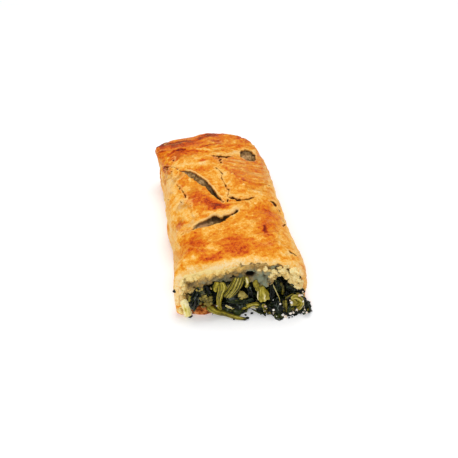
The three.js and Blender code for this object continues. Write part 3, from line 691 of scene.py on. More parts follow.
bake = (
    bake - 0.14 * smooth(30, 20, Z) - 0.12 * smooth(14, 6, Z) * smooth(0, -8, X)
    + 0.06 * rough(X, Y, Z, 7, 30) * smooth(30, 22, Z)
)
bake = bake + 0.3 * smooth(5, 0.5, Z) + 0.1 * smooth(1, 0, Z)
bake = bake + rent * (0.02 + 0.2 * (mid_own - 0.5) + 0.12 * smooth(0.3, 0.05, mid_edge))
bake = bake + 0.22 * seam - 0.16 * seam_lip + 0.1 * creases + 0.16 * blister * (blister_own - 0.5)
bake = bake + upright * (0.14 * rough(X, Y, Z, 13, 80) + 0.06) * smooth(30, 22, Z) * smooth(6, 14, from_cut)
# Ridge crests painted paler as a painted highlight; the lips of the openings are paler too
bake = bake - 0.3 * ridge - 0.2 * lip
cream_reach = (
    3.6 + 2.4 * hill(X + 7, 0, 10) + 1.4 * smooth(-6, 12, X) - 2.4 * smooth(-26, -34, X)
    - 1.4 * hill(X + 23, 0, 5) + 1.4 * rough(X, Y, Z, 5, 31)
)
bake = bake - (0.3 + 0.2 * hill(X + 7, 0, 10)) * smooth(cream_reach, 0.6, from_cut) * smooth(6, 14, Z)
for cx, cy, rx, ry, amount in SCORCHES:
    bake = bake + amount * hill(jag_x - cx, jag_y - cy, rx, ry) * on_top
for cx, cy, size in FLECKS:
    bake = (
        bake
        - 0.6 * smooth(1.2, 0.5, np.hypot(PX - cx, PY - cy) / size + 0.5 * rough(X, Y, Z, 1.2, 82)) * on_top
    )
bake = (
    bake + 0.24 * smooth(31, 34, X) * smooth(8, 3, from_cut)
    + 0.5 * hill(Z - 6.6, Y - 0.8, 1.3, 1.6) * (X < -33)
)
bake = bake + 0.5 * hill(Z - 2.6, Y - 0.2, 1.3, 2.0) * (X < -33)
bake = bake - 0.2 * smooth(-30, -34, X) * smooth(10, 3, from_cut) * smooth(24, 18, Z) * smooth(4, 8, Z)
bake = np.maximum(bake, 0.2 * smooth(4, 8, from_cut) * smooth(6, 12, Z))
bake = np.clip(bake, 0.02, 1.0)
# A duller tan over the far end, the right part, the torn patch and the right wall by the cut; low on the
# sides the same tan is painted shade
tan_and_low_shade = (0.95 * right_part * smooth(66, 76, PY) + 0.4 * smooth(117, 123, PY)) * (0.6 + 0.5 * streak)
tan_and_low_shade = tan_and_low_shade + 0.7 * smooth(31, 33.5, X) * smooth(9, 3, from_cut)
tan_and_low_shade = np.clip(tan_and_low_shade + 0.25 * smooth(12, 4, Z) + 0.9 * rent, 0, 1)
# Paler raw dough and painted shade on the left wall where it dents in
raw_and_shaded_wall = (
    smooth(0.3, 0.9, -normal[..., 0]) * hill(0, Y - 32, 1, 15) * smooth(30, 22, Z)
    * smooth(5, 11, from_cut) * (row_of < first_rim)
)

# What the crumb is like: 0 white and dry, 0.5 tan, 1 grey and soaked
soaked = 0.5 - 0.3 * smooth(-22, -32, X) + 0.42 * hill(X - 9, Z - 21, 8, 7) + 0.25 * hill(X + 8, Z - 23, 9, 4)
soaked = soaked + 0.2 * hill(X - 7, Z - 26.5, 8, 3.0)
soaked = (
    soaked - 0.42 * smooth(0.5, 0.15, share) * smooth(4, -8, X)
    + 0.1 * smooth(0.4, 0.9, share) * smooth(6, -4, X)
)
soaked = soaked - 0.2 * smooth(0.6, 0.2, share) * smooth(-12, -20, X)
soaked = (
    soaked - 0.62 * smooth(16, 24, X) * smooth(31, 25, Z) - 0.3 * hill(X - 19, Z - 23.5, 4, 3)
    + 0.34 * (mid_own - 0.5) + 0.2 * (big_own - 0.5)
)
soaked = soaked + 0.5 * hill(X - 18.5, Z - 29, 3.6, 2.2) - 0.5 * hill(X - 12.2, Z - 29, 1.8)
soaked = soaked + 0.3 * hill(X + 29.6, Z - 21.5, 2.6, 3.2) + 0.24 * hill(X + 18, Z - 24, 8, 3)
soaked = soaked + 0.3 * smooth(17, 12, Z) * smooth(-27, -22, X) * (1 - smooth(22, 28, X))
soaked = np.clip(soaked + 0.12 * rough(X, Y, Z, 2, 32), 0, 1)
# Painted shade that deepens further in behind the cut
inside_shade = smooth(2.2, 8, from_cut) * (row_of >= first_face)
gappy = smooth(-0.3, 0.5, rough(X, Y, Z, 4.5, 71)) * (0.5 + 0.5 * smooth(8, 16, X))
# Painted shade in the gaps between crumbs and lumps, and in the holes
crevice_shade = (
    smooth(0.2, 0.02, big_edge) * (0.2 + 0.7 * gappy)
    + smooth(0.2, 0.02, mid_edge) * 0.55 * gappy * mid_own
)
crevice_shade = crevice_shade + smooth(0.5, 0.15, small) * (0.12 + 0.2 * gappy)
crevice_shade = crevice_shade * (0.8 + 0.9 * smooth(8, 15, X)) + 0.5 * hill(X - 18.5, Z - 29, 3.2, 1.6)
crevice_shade = crevice_shade + (0.3 + 0.4 * small_own) * hill(X + 29.8, Z - 21.5, 2.6, 3.4)
crevice_shade = np.clip((crevice_shade * looseness + 1.2 * pit) * in_face, 0, 1)


def mesh_piece(name, vertices, faces, numbers=None):
    """A shaded-smooth piece in the frame's metres, from millimetres along the roll."""
    placed = np.asarray(vertices, float) * MM + np.array(SHIFT)
    mesh = bpy.data.meshes.new(name)
    mesh.from_pydata(placed.tolist(), [], faces)
    mesh.polygons.foreach_set("use_smooth", [True] * len(mesh.polygons))
    for key, values in (numbers or {}).items():
        layer = mesh.attributes.new(key, "FLOAT", "POINT")
        layer.data.foreach_set("value", np.ascontiguousarray(values, np.float32).ravel())
    mesh.update()
    piece = bpy.data.objects.new(name, mesh)
    bpy.context.scene.collection.objects.link(piece)
    return piece


def ring_faces(ring_count, around):
    """Quads between rings, and a fan on each end round the poles, which are the last two vertices."""
    i = np.arange(around)
    j = (i + 1) % around
    faces = []
    for r in range(ring_count - 1):
        a, b = r * around, (r + 1) * around
        faces += np.stack([a + i, a + j, b + j, b + i], -1).tolist()
    pole, far_pole = ring_count * around, ring_count * around + 1
    end = (ring_count - 1) * around
    faces += np.stack([np.full(around, pole), j, i], -1).tolist()
    faces += np.stack([np.full(around, far_pole), end + i, end + j], -1).tolist()
    return faces


poles = np.array([shape[0].mean(axis=0), shape[-1].mean(axis=0)])
poles[0, 1] = shape[0, :, 1].max() + 0.02


def with_poles(values):
    """The numbers of the grid as one row, with one more for each pole."""
    return np.concatenate([values.ravel(), [values[0].mean(), values[-1].mean()]])


crust = mesh_piece(
    "baked_crust",
    np.vstack([shape.reshape(-1, 3), poles]),
    ring_faces(len(shape), COLUMNS),
    {
        "bake": with_poles(bake),
        "torn": with_poles(torn),
        "opening": with_poles(np.clip(opening, -4, 9)),
        "crack": with_poles(np.clip(crack, -2, 9)),
        "soaked": with_poles(soaked),
        "glaze": with_poles(glaze),
        "inside": with_poles(inside_shade),
        "crevice_shade": with_poles(crevice_shade),
        "hollow_shade": with_poles(np.clip(1.5 * pit - 0.5, 0, 1) * in_face),
        "vein": with_poles(vein),
        "veiny": with_poles(veiny),
        "lip": with_poles(lip * on_top),
        "shade": with_poles(shade),
        "ragged": with_poles(ragged),
        "tan_and_low_shade": with_poles(tan_and_low_shade),
        "raw_and_shaded_wall": with_poles(raw_and_shaded_wall),
    },
)


class Wire:
    """A shader socket that can be reckoned with like a number."""

    def __init__(self, tree, socket):
        self.tree = tree
        self.socket = socket

    def node(self, kind, settings, inputs, output=0):
        made = self.tree.nodes.new(kind)
        for key, value in settings.items():
            setattr(made, key, value)
        for key, value in inputs.items():
            if isinstance(value, Wire):
                self.tree.links.new(value.socket, made.inputs[key])
            else:
                made.inputs[key].default_value = value
        return Wire(self.tree, made.outputs[output])

    def reckon(self, operation, first, second=0.0):
        return self.node("ShaderNodeMath", {"operation": operation}, {0: first, 1: second})

    def __add__(self, other):
        return self.reckon("ADD", self, other)

    def __radd__(self, other):
        return self.reckon("ADD", other, self)

    def __sub__(self, other):
        return self.reckon("SUBTRACT", self, other)

    def __rsub__(self, other):
        return self.reckon("SUBTRACT", other, self)

    def __mul__(self, other):
        return self.reckon("MULTIPLY", self, other)

    def __rmul__(self, other):
        return self.reckon("MULTIPLY", other, self)

    def __truediv__(self, other):
        return self.reckon("DIVIDE", self, other)

    def __pow__(self, other):
        return self.reckon("POWER", self, other)

    def between(self, low, high):
        """0 at low, 1 at high, smooth between."""
        settings = {"interpolation_type": "SMOOTHSTEP"}
        if low < high:
            return self.node("ShaderNodeMapRange", settings, {0: self, 1: low, 2: high, 3: 0.0, 4: 1.0})
        return self.node("ShaderNodeMapRange", settings, {0: self, 1: high, 2: low, 3: 1.0, 4: 0.0})

    def mixed(self, first, second, blend="MIX"):
        """The first colour where this is 0, the second where it is 1."""
        settings = {"data_type": "RGBA", "blend_type": blend}
        return self.node("ShaderNodeMix", settings, {0: self, 6: first, 7: second}, 2)

    def ramp(self, stops):
        made = self.tree.nodes.new("ShaderNodeValToRGB")
        self.tree.links.new(self.socket, made.inputs[0])
        band = made.color_ramp
        while len(band.elements) < len(stops):
            band.elements.new(0.5)
        for element, (place, colour) in zip(band.elements, stops):
            element.position = place
            element.color = colour
        return Wire(self.tree, made.outputs[0])

    def noise(self, size, detail=2.0, stretch=(1, 1, 1), turn=(0, 0, 0)):
        """Noise from about 0 to 1 whose lumps are that many millimetres across."""
        place = self.node("ShaderNodeTexCoord", {}, {}, 3)
        placed = self.node("ShaderNodeMapping", {}, {0: place, 2: turn, 3: stretch})
        inputs = {"Vector": placed, "Scale": 500.0 / size, "Detail": detail, "Roughness": 0.55}
        return self.node("ShaderNodeTexNoise", {}, inputs)

    def attribute(self, name):
        return self.node("ShaderNodeAttribute", {"attribute_name": name}, {}, 2)


def colour(red, green, blue, strength=1.0):
    """A colour as it looks on a screen, from 0 to 255, as the light that it reflects."""
    parts = [v / 255.0 for v in (red, green, blue)]
    linear = [v / 12.92 if v <= 0.04045 else ((v + 0.055) / 1.055) ** 2.4 for v in parts]
    return tuple(v * strength for v in linear) + (1.0,)


def new_material(name):
    """A fresh material: (material, any wire of its tree, its main shader)."""
    material = bpy.data.materials.new(name)
    material.use_nodes = True
    tree = material.node_tree
    shader = tree.nodes["Principled BSDF"]
    return material, Wire(tree, None), shader


def feed(shader, wire, name):
    """Links a wire to one of the shader's inputs."""
    wire.tree.links.new(wire.socket, shader.inputs[name])


def glowing_inside(shader, weight, radius):
    """Light that goes a little way into soft food: its share, and its reach in red, green and blue."""
    shader.inputs["Subsurface Weight"].default_value = weight
    shader.inputs["Subsurface Radius"].default_value = radius
    shader.inputs["Subsurface Scale"].default_value = 1.0


def bumped(wire, height, distance, strength=1.0):
    """A normal bumped by a height that is that many millimetres high."""
    inputs = {"Height": height, "Distance": distance * MM, "Strength": strength}
    return wire.node("ShaderNodeBump", {}, inputs)


crust_material, wire, shader = new_material("baked_dough")
fine = wire.noise(0.9, 3.0)
finer = wire.noise(0.35, 2.0)
coarse = wire.noise(3.0, 3.0)
baked = wire.attribute("bake") + (fine - 0.5) * 0.6 + (finer - 0.5) * 0.55 + (coarse - 0.5) * 0.3
baked = baked + wire.noise(1.3, 1.0).between(0.64, 0.74) * 0.14
BAKED_STOPS = [
    (0.00, colour(254, 222, 164)),
    (0.14, colour(252, 205, 124)),
    (0.28, colour(250, 187, 84)),
    (0.42, colour(240, 157, 34)),
    (0.54, colour(230, 132, 16)),
    (0.66, colour(222, 106, 6)),
    (0.78, colour(204, 78, 4)),
    (0.89, colour(174, 50, 0)),
    (1.00, colour(116, 26, 0)),
]
skin_colour = baked.ramp(BAKED_STOPS)
vein = wire.attribute("vein") + (finer - 0.5) * 0.22
veiny = wire.attribute("veiny")
# Painted shade on one side of each wrinkle line
skin_colour = (vein.between(0.02, 0.12) * vein.between(0.42, 0.14) * veiny * 0.4).mixed(
    skin_colour, colour(150, 66, 14),
)
# A painted highlight along each wrinkle line
skin_colour = (vein.between(-0.1, 0.0) * vein.between(0.07, 0.0) * veiny * 0.6).mixed(
    skin_colour, colour(250, 196, 116),
)
# Duller tan, and painted shade low on the sides
tan_and_low_shade = wire.attribute("tan_and_low_shade") * fine.between(0.3, 0.62)
skin_colour = (tan_and_low_shade * 0.55).mixed(skin_colour, colour(214, 146, 88))
# Raw dough tan and painted shade on the left wall's dent
skin_colour = (wire.attribute("raw_and_shaded_wall") * (fine * 0.7 + 0.05)).mixed(skin_colour, colour(222, 178, 118))
edge = wire.attribute("opening") + (fine - 0.5) * 0.8
lip = wire.attribute("lip")
skin_colour = (edge.between(1.6, 0.5) * lip.between(0.12, 0.45) * 0.8).mixed(
    skin_colour, colour(252, 208, 134),
)
# A painted shadow along the rim of each opening where its lip stays low
skin_colour = (edge.between(0.5, 0.1) * lip.between(0.4, 0.1) * 0.7).mixed(skin_colour, colour(120, 62, 16))
floor_colour = (coarse * 0.5 + fine * 0.5).ramp([
    (0.38, colour(78, 50, 24)), (0.5, colour(150, 116, 70)), (0.62, colour(214, 180, 130)),
])
# Painted shade in the floors of the openings, and painted light where the shade is below zero
shade = wire.attribute("shade")
floor_colour = (shade.between(0.0, 1.0) * 0.8).mixed(floor_colour, colour(50, 27, 10))
floor_colour = (shade.between(0.0, -0.8) * 0.6).mixed(floor_colour, colour(196, 146, 104))
# Painted shade just inside the rim of each opening
floor_colour = (edge.between(-1.1, -0.3) * 0.7).mixed(floor_colour, colour(52, 30, 10))
skin_colour = edge.between(0.1, -0.3).mixed(skin_colour, floor_colour)
gap = wire.attribute("crack") + (finer - 0.5) * 0.35
skin_colour = (gap.between(1.5, 0.5) * gap.between(0.2, 0.5) * 0.35).mixed(skin_colour, colour(252, 206, 130))
# Browner toward each crack and dark inside it and in the pits, painted shade in the narrow gaps
skin_colour = (gap.between(0.5, 0.1) * 0.5).mixed(skin_colour, colour(150, 78, 22))
skin_colour = (gap.between(0.18, -0.1) * 0.95).mixed(skin_colour, colour(66, 30, 6))
soak = wire.attribute("soaked") + (fine - 0.5) * 0.35 + (finer - 0.5) * 0.2
CRUMB_STOPS = [
    (0.00, colour(255, 228, 154)),
    (0.20, colour(244, 199, 108)),
    (0.40, colour(208, 172, 100)),
    (0.60, colour(180, 146, 88)),
    (0.80, colour(160, 148, 110)),
    (1.00, colour(136, 142, 118)),
]
crumb_colour = soak.ramp(CRUMB_STOPS)
# Painted shade in the crevices and, near black, in the two holes
dark_gap = wire.attribute("crevice_shade") + (finer - 0.5) * 0.5
crumb_colour = (dark_gap.between(0.1, 0.85) * 0.9).mixed(crumb_colour, colour(80, 52, 22))
# Painted shade deeper in behind the cut
crumb_colour = (wire.attribute("inside") * 0.8).mixed(crumb_colour, colour(60, 46, 24))
crumb_colour = wire.attribute("hollow_shade").between(0.1, 0.6).mixed(crumb_colour, colour(12, 9, 5))
torn = wire.attribute("torn") + (finer - 0.5) * 0.2
whole = torn.between(0.35, 0.6).mixed(skin_colour, crumb_colour)
# A painted shadow along the ragged top edge of the cut, under the overhanging crust
rim_shadow = (
    fine.between(0.38, 0.5) * wire.attribute("ragged") * torn.between(0.3, 0.45) * torn.between(0.85, 0.6)
)
whole = (rim_shadow * 0.75).mixed(whole, colour(92, 62, 28))
glaze_colour = (fine * 0.6 + coarse * 0.4).ramp([
    (0.38, colour(88, 36, 10)), (0.46, colour(172, 84, 28)), (0.54, colour(222, 134, 60)),
    (0.64, colour(242, 190, 132)),
])
whole = wire.attribute("glaze").between(0.3, 0.7).mixed(whole, glaze_colour)
feed(shader, whole, "Base Color")
dull = torn.between(0.3, 0.7) * 0.3 + 0.46 + (coarse - 0.5) * 0.4
dull = dull + edge.between(0.2, -0.3) * 0.6 + gap.between(0.5, 0.0) * 0.6
dull = dull - soak.between(0.6, 0.9) * torn.between(0.2, 0.8) * 0.35 - wire.attribute("glaze") * 0.3
feed(shader, dull, "Roughness")
feed(shader, bumped(wire, fine * 0.7 + finer * 0.5, 0.35), "Normal")
shader.inputs["Specular IOR Level"].default_value = 0.1
glowing_inside(shader, 0.05, (0.0022, 0.0011, 0.0005))
crust.data.materials.append(crust_material)
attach(crust, "root")
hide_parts("pastry")

# ---------------------------------------------------------------------------------------------
# The filling: chopped spinach, cooked down to a dark wet mass. Its body fills the casing, and
# at the right it has slid out of the cut and lies on the table in a low heap.


def blob(centre, radii, seed, lumps=0.12, size=4.0, rows=22, around=36, flat_at=None):
    """A lumpy ball as (vertices, faces), stretched to its three radii."""
    v = math.pi * (np.arange(rows) + 0.7) / (rows + 0.4)
    u = 2 * math.pi * np.arange(around) / around
    ball = np.stack([
        np.sin(v)[:, None] * np.cos(u), np.sin(v)[:, None] * np.sin(u), np.cos(v)[:, None] + 0 * u,
    ], -1)
    place = ball * radii + centre
    swelling = lumps * rough(place[..., 0], place[..., 1], place[..., 2], size, seed)
    swelling = (
        swelling + 0.5 * lumps * rough(place[..., 0], place[..., 1], place[..., 2], size / 2.3, seed + 1)
    )
    place = centre + ball * radii * (1 + swelling[..., None])
    tips = np.array([place[0].mean(axis=0), place[-1].mean(axis=0)])
    points = np.vstack([place.reshape(-1, 3), tips])
    if flat_at is not None:
        points[:, 2] = np.maximum(points[:, 2], flat_at)
    return points, [face[::-1] for face in ring_faces(rows, around)]


def joined(parts):
    """Several (vertices, faces) as one."""
    points, faces, count = [], [], 0
    for vertices, own_faces in parts:
        points.append(vertices)
        faces += [[i + count for i in face] for face in own_faces]
        count += len(vertices)
    return np.vstack(points), faces


core_rings = []
CORE_COLUMNS = 96
core_line = resampled(mouth, CORE_COLUMNS)
# Rings of the mass from back to front, each: depth behind the cut, share of the mouth's outline
CORE_DEPTHS = [
    (15, 0.9), (11, 0.96), (8, 0.96), (5.5, 0.95), (3.6, 0.93), (2.6, 0.84), (1.9, 0.68), (1.5, 0.45),
    (1.3, 0.2),
]
for deep, share in CORE_DEPTHS:
    section = (core_line - (1, 11)) * share + (1, 11)
    y = cut_at(section[:, 0], section[:, 1]) + deep - 1.2 * smooth(12, 4, section[:, 1])
    place = np.stack([section[:, 0], y, section[:, 1]], -1)
    lump = 0.9 * rough(place[:, 0], place[:, 1], place[:, 2], 3.0, 40) * smooth(1.0, 0.9, share)
    place[:, 1] -= lump
    core_rings.append(place)
core_body = np.array(core_rings)
core_tips = np.array([core_body[0].mean(axis=0), core_body[-1].mean(axis=0)])
core_part = (np.vstack([core_body.reshape(-1, 3), core_tips]), ring_faces(len(core_body), CORE_COLUMNS))
# Lumps of the mass in front of the cut, each: middle, three radii, seed
HEAP = [
    ((21.0, -4.6, 1.5), (8.6, 5.2, 7.4), 41),
    ((28.5, -4.0, 2.5), (5.4, 4.4, 7.8), 42),
    ((34.2, -7.6, 1.4), (2.8, 3.6, 5.4), 43),
    ((23.4, -8.6, 0.4), (6.4, 2.8, 2.2), 44),
    ((11.4, -4.2, 1.0), (4.2, 3.0, 4.2), 45),
    ((31.0, -8.4, 0.6), (3.6, 2.2, 2.0), 46),
    ((-11.4, -2.0, 2.0), (5.4, 2.6, 3.6), 47),
    ((-3.0, -3.4, 1.4), (5.0, 2.6, 2.6), 48),
]
heap_parts = [blob(np.array(c), np.array(r), seed, 0.14, 3.5, flat_at=0.02) for c, r, seed in HEAP]
core_vertices, core_faces = joined([core_part] + heap_parts)
core = mesh_piece("spinach_core", core_vertices, core_faces)

core_material, wire, shader = new_material("wet_spinach_mass")
leafy = wire.noise(2.2, 3.0)
feed(
    shader,
    leafy.ramp([(0.35, colour(6, 7, 4)), (0.6, colour(18, 24, 10)), (0.8, colour(44, 48, 20))]),
    "Base Color",
)
feed(shader, leafy * -0.4 + 0.62, "Roughness")
feed(shader, bumped(wire, wire.noise(0.8, 2.0), 0.5), "Normal")
shader.inputs["Specular IOR Level"].default_value = 0.25
core.data.materials.append(core_material)
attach(core, "root")
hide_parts("spinach_filling")

# ---------------------------------------------------------------------------------------------
# Chopped leaves: scraps of cooked leaf, thin, folded and shiny, that cover the front of the mass.


def scatter_tree(name, material, tone_name):
    """Geometry nodes that lay bent flat scraps over a surface, with named inputs for their sizes."""
    tree = bpy.data.node_groups.new(name, "GeometryNodeTree")
    tree.interface.new_socket("Geometry", in_out="OUTPUT", socket_type="NodeSocketGeometry")
    for key, kind in (
        ("Surface", "NodeSocketGeometry"),
        ("Density", "NodeSocketFloat"),
        ("Smallest", "NodeSocketVector"),
        ("Largest", "NodeSocketVector"),
        ("Tilt", "NodeSocketFloat"),
        ("Crumple", "NodeSocketFloat"),
        ("Detail", "NodeSocketInt"),
        ("Seed", "NodeSocketInt"),
    ):
        tree.interface.new_socket(key, in_out="INPUT", socket_type=kind)
    given = tree.nodes.new("NodeGroupInput")
    wire = Wire(tree, None)
    take = {item.name: Wire(tree, given.outputs[item.name]) for item in given.outputs if item.name}
    spread = wire.node(
        "GeometryNodeDistributePointsOnFaces", {"distribute_method": "RANDOM"},
        {"Mesh": take["Surface"], "Density": take["Density"], "Seed": take["Seed"]},
    )
    facing = Wire(tree, spread.socket.node.outputs["Rotation"])
    block = wire.node(
        "GeometryNodeMeshCube", {},
        {"Vertices X": take["Detail"], "Vertices Y": take["Detail"], "Vertices Z": take["Detail"]},
    )
    corner = wire.node("GeometryNodeInputPosition", {}, {})
    place = wire.node("ShaderNodeVectorMath", {"operation": "NORMALIZE"}, {0: corner})
    wave = wire.node("ShaderNodeTexNoise", {}, {"Vector": place, "Scale": 1.1, "Detail": 1.5}, 1)
    centred = wire.node("ShaderNodeVectorMath", {"operation": "SUBTRACT"}, {0: wave, 1: (0.5, 0.5, 0.5)})
    pushed = wire.node("ShaderNodeVectorMath", {"operation": "SCALE"}, {0: centred, "Scale": take["Crumple"]})
    scrap = wire.node("GeometryNodeSetPosition", {}, {"Geometry": block, "Position": place, "Offset": pushed})
    sizes = wire.node(
        "FunctionNodeRandomValue", {"data_type": "FLOAT_VECTOR"},
        {0: take["Smallest"], 1: take["Largest"], "Seed": take["Seed"]},
    )
    tilt = wire.node("ShaderNodeCombineXYZ", {}, {0: take["Tilt"], 1: take["Tilt"], 2: 3.1416})
    back = wire.node("ShaderNodeVectorMath", {"operation": "SCALE"}, {0: tilt, "Scale": -1.0})
    lean = wire.node(
        "FunctionNodeRandomValue", {"data_type": "FLOAT_VECTOR"},
        {0: back, 1: tilt, "Seed": take["Seed"] + 7.0},
    )
    turned = wire.node("FunctionNodeRotateRotation", {"rotation_space": "LOCAL"}, {0: facing, 1: lean})
    laid = wire.node(
        "GeometryNodeInstanceOnPoints", {},
        {"Points": spread, "Instance": scrap, "Rotation": turned, "Scale": sizes},
    )
    tone = wire.node(
        "FunctionNodeRandomValue", {"data_type": "FLOAT"}, {2: 0.0, 3: 1.0, "Seed": take["Seed"] + 13.0},
        1,
    )
    toned = wire.node(
        "GeometryNodeStoreNamedAttribute", {"data_type": "FLOAT", "domain": "INSTANCE"},
        {"Geometry": laid, "Name": tone_name, "Value": tone},
    )
    real = wire.node("GeometryNodeRealizeInstances", {}, {0: toned})
    soft = wire.node("GeometryNodeSetShadeSmooth", {}, {0: real})
    done = wire.node("GeometryNodeSetMaterial", {}, {"Geometry": soft, "Material": material})
    tree.links.new(done.socket, tree.nodes.new("NodeGroupOutput").inputs[0])
    return tree


def scattered(name, surface, tree, inputs):
    """A plain mesh piece of what the tree lays over a surface, a mesh in the frame's metres."""
    holder = bpy.data.objects.new(name + "_bed", surface)
    bpy.context.scene.collection.objects.link(holder)
    modifier = holder.modifiers.new(name, "NODES")
    modifier.node_group = tree
    for item in tree.interface.items_tree:
        if item.name in inputs:
            modifier[item.identifier] = inputs[item.name]
    bpy.context.view_layer.update()
    evaluated = holder.evaluated_get(bpy.context.evaluated_depsgraph_get())
    mesh = bpy.data.meshes.new_from_object(evaluated)
    bpy.data.objects.remove(holder)
    piece = bpy.data.objects.new(name, mesh)
    bpy.context.scene.collection.objects.link(piece)
    return piece


def keep_above_floor(piece):
    """Lifts to the floor what a scrap has below it."""
    places = np.zeros(3 * len(piece.data.vertices))
    piece.data.vertices.foreach_get("co", places)
    places[2::3] = np.maximum(places[2::3], 0.0)
    piece.data.vertices.foreach_set("co", places)
    piece.data.update()


leaf_material, wire, shader = new_material("cooked_leaf")
veins = wire.noise(1.4, 3.0, (1, 1, 0.4))
tone = wire.attribute("tone")
LEAF_STOPS = [
    (0.0, colour(2, 4, 2)),
    (0.3, colour(6, 12, 6)),
    (0.5, colour(18, 30, 10)),
    (0.68, colour(44, 56, 16)),
    (0.84, colour(88, 90, 30)),
    (1.0, colour(132, 124, 58)),
]
veining = (
    wire.noise(2.6, 1.0, (1, 1, 0.6)).between(0.53, 0.5)
    * wire.noise(2.6, 1.0, (1, 1, 0.6)).between(0.47, 0.5)
)
leaf_colour = (tone * 0.8 + veins * 0.36 + veining * 0.14 - 0.1).ramp(LEAF_STOPS)
# Painted sheen: pale flecks in the leaf's colour that stand in for glints on the wet leaf
painted_sheen = wire.noise(1.1, 1.0, (1, 1, 0.5)).between(0.6, 0.72) * wire.noise(4.5, 1.0).between(0.44, 0.6)
leaf_colour = (painted_sheen * 0.5).mixed(leaf_colour, colour(138, 148, 138))
feed(shader, leaf_colour, "Base Color")
feed(shader, veins * 0.3 + 0.08, "Roughness")
feed(shader, bumped(wire, veins + wire.noise(0.6, 2.0) * 0.3, 0.22), "Normal")
shader.inputs["Specular IOR Level"].default_value = 0.2

front_rows = core_body[3:]
front = front_rows.reshape(-1, 3)
front_faces = [f for f in ring_faces(len(front_rows), CORE_COLUMNS) if max(f) < len(front)]
bed_vertices, bed_faces = joined([(front, front_faces)] + heap_parts)
bed = bpy.data.meshes.new("leaf_bed")
bed.from_pydata((bed_vertices * MM + np.array(SHIFT)).tolist(), [], bed_faces)
leaf_tree = scatter_tree("lay_leaves", leaf_material, "tone")
LEAF_SIZES = {
    "Density": 62000.0,
    "Smallest": (0.0016, 0.0010, 0.0003),
    "Largest": (0.0052, 0.0034, 0.0008),
    "Tilt": 0.8,
    "Crumple": 1.9,
    "Detail": 3,
    "Seed": 5,
}
leaves = scattered("chopped_leaves", bed, leaf_tree, LEAF_SIZES)
keep_above_floor(leaves)
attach(leaves, "root")

# ---------------------------------------------------------------------------------------------
# Loose crumb: granules of the torn dough that cling to the cut face, dry and white at the right.

granule_material, wire, shader = new_material("crumb_granules")
fine = wire.noise(0.9, 3.0)
soak = wire.attribute("soaked") * 0.8 + wire.attribute("tone") * 0.3 + (fine - 0.5) * 0.4 - 0.1
GRANULE_STOPS = [
    (0.00, colour(255, 236, 174)),
    (0.20, colour(242, 211, 138)),
    (0.40, colour(206, 180, 114)),
    (0.60, colour(168, 144, 90)),
    (0.80, colour(148, 144, 108)),
    (1.00, colour(130, 138, 114)),
]
feed(shader, soak.ramp(GRANULE_STOPS), "Base Color")
feed(shader, bumped(wire, fine, 0.3), "Normal")
shader.inputs["Roughness"].default_value = 0.75
shader.inputs["Specular IOR Level"].default_value = 0.2
glowing_inside(shader, 0.05, (0.0018, 0.0011, 0.0006))

# Bigger lumps of the crumb that stand clear of it: x, z, size, and how soaked
CRUMB_LUMPS = [
    (17.4, 27.6, 1.8, 0.2), (21.4, 28.6, 2.0, 0.02), (24.4, 24.4, 2.1, 0.3), (27.4, 28.2, 1.9, 0.0),
    (27.3, 23.4, 2.6, 0.14), (30.4, 16.4, 2.0, 0.04), (12.0, 29.4, 1.2, 0.0), (14.2, 28.4, 1.1, 0.4),
    (15.6, 25.0, 1.6, 0.16), (20.0, 30.6, 1.2, 0.3), (26.0, 20.6, 1.5, 0.3), (23.4, 31.2, 1.4, 0.14),
    (30.4, 20.6, 1.3, 0.1), (32.2, 17.4, 1.2, 0.15), (19.6, 25.4, 1.3, 0.5), (22.4, 25.2, 1.2, 0.3),
    (8.6, 28.8, 1.0, 0.35), (13.4, 20.0, 1.5, 0.95), (10.4, 18.0, 1.6, 0.95), (30.0, 25.8, 1.3, 0.05),
    (29.0, 18.2, 1.2, 0.3), (-27.4, 17.8, 1.8, 0.5), (-29.4, 17.0, 1.3, 0.55), (-23.4, 15.8, 2.2, 0.85),
    (-9.2, 19.4, 2.4, 0.55), (-19.6, 18.0, 1.6, 0.7), (-33.0, 19.6, 1.1, 0.35),
]
lump_parts = []
lump_soak_and_shade = []
for number, (x, z, size, wetness) in enumerate(CRUMB_LUMPS):
    radii = size * np.array([1.0, 0.7, 0.8 + 0.2 * math.sin(number * 2.3)])
    middle = np.array([x, float(cut_at(x, z)) - 0.4 * size, z])
    part = blob(middle, radii, 200 + number, 0.5, 1.1, 24, 36)
    # Greyer toward each lump's underside: painted shade added to how soaked it is
    lump_parts.append(part)
    lump_soak_and_shade.append(
        wetness + 0.3 * np.clip(-(part[0][:, 2] - z) / size, -0.3, 1) + 0.1 * math.sin(number * 3.1)
    )
lump_vertices, lump_faces = joined(lump_parts)
lump_soak_and_shade = np.clip(np.concatenate(lump_soak_and_shade), 0, 1)
crumb_lumps = mesh_piece(
    "crumb_lumps", lump_vertices, lump_faces, {"soaked": lump_soak_and_shade, "tone": 0 * lump_soak_and_shade + 0.4},
)
crumb_lumps.data.materials.append(granule_material)
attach(crumb_lumps, "root")

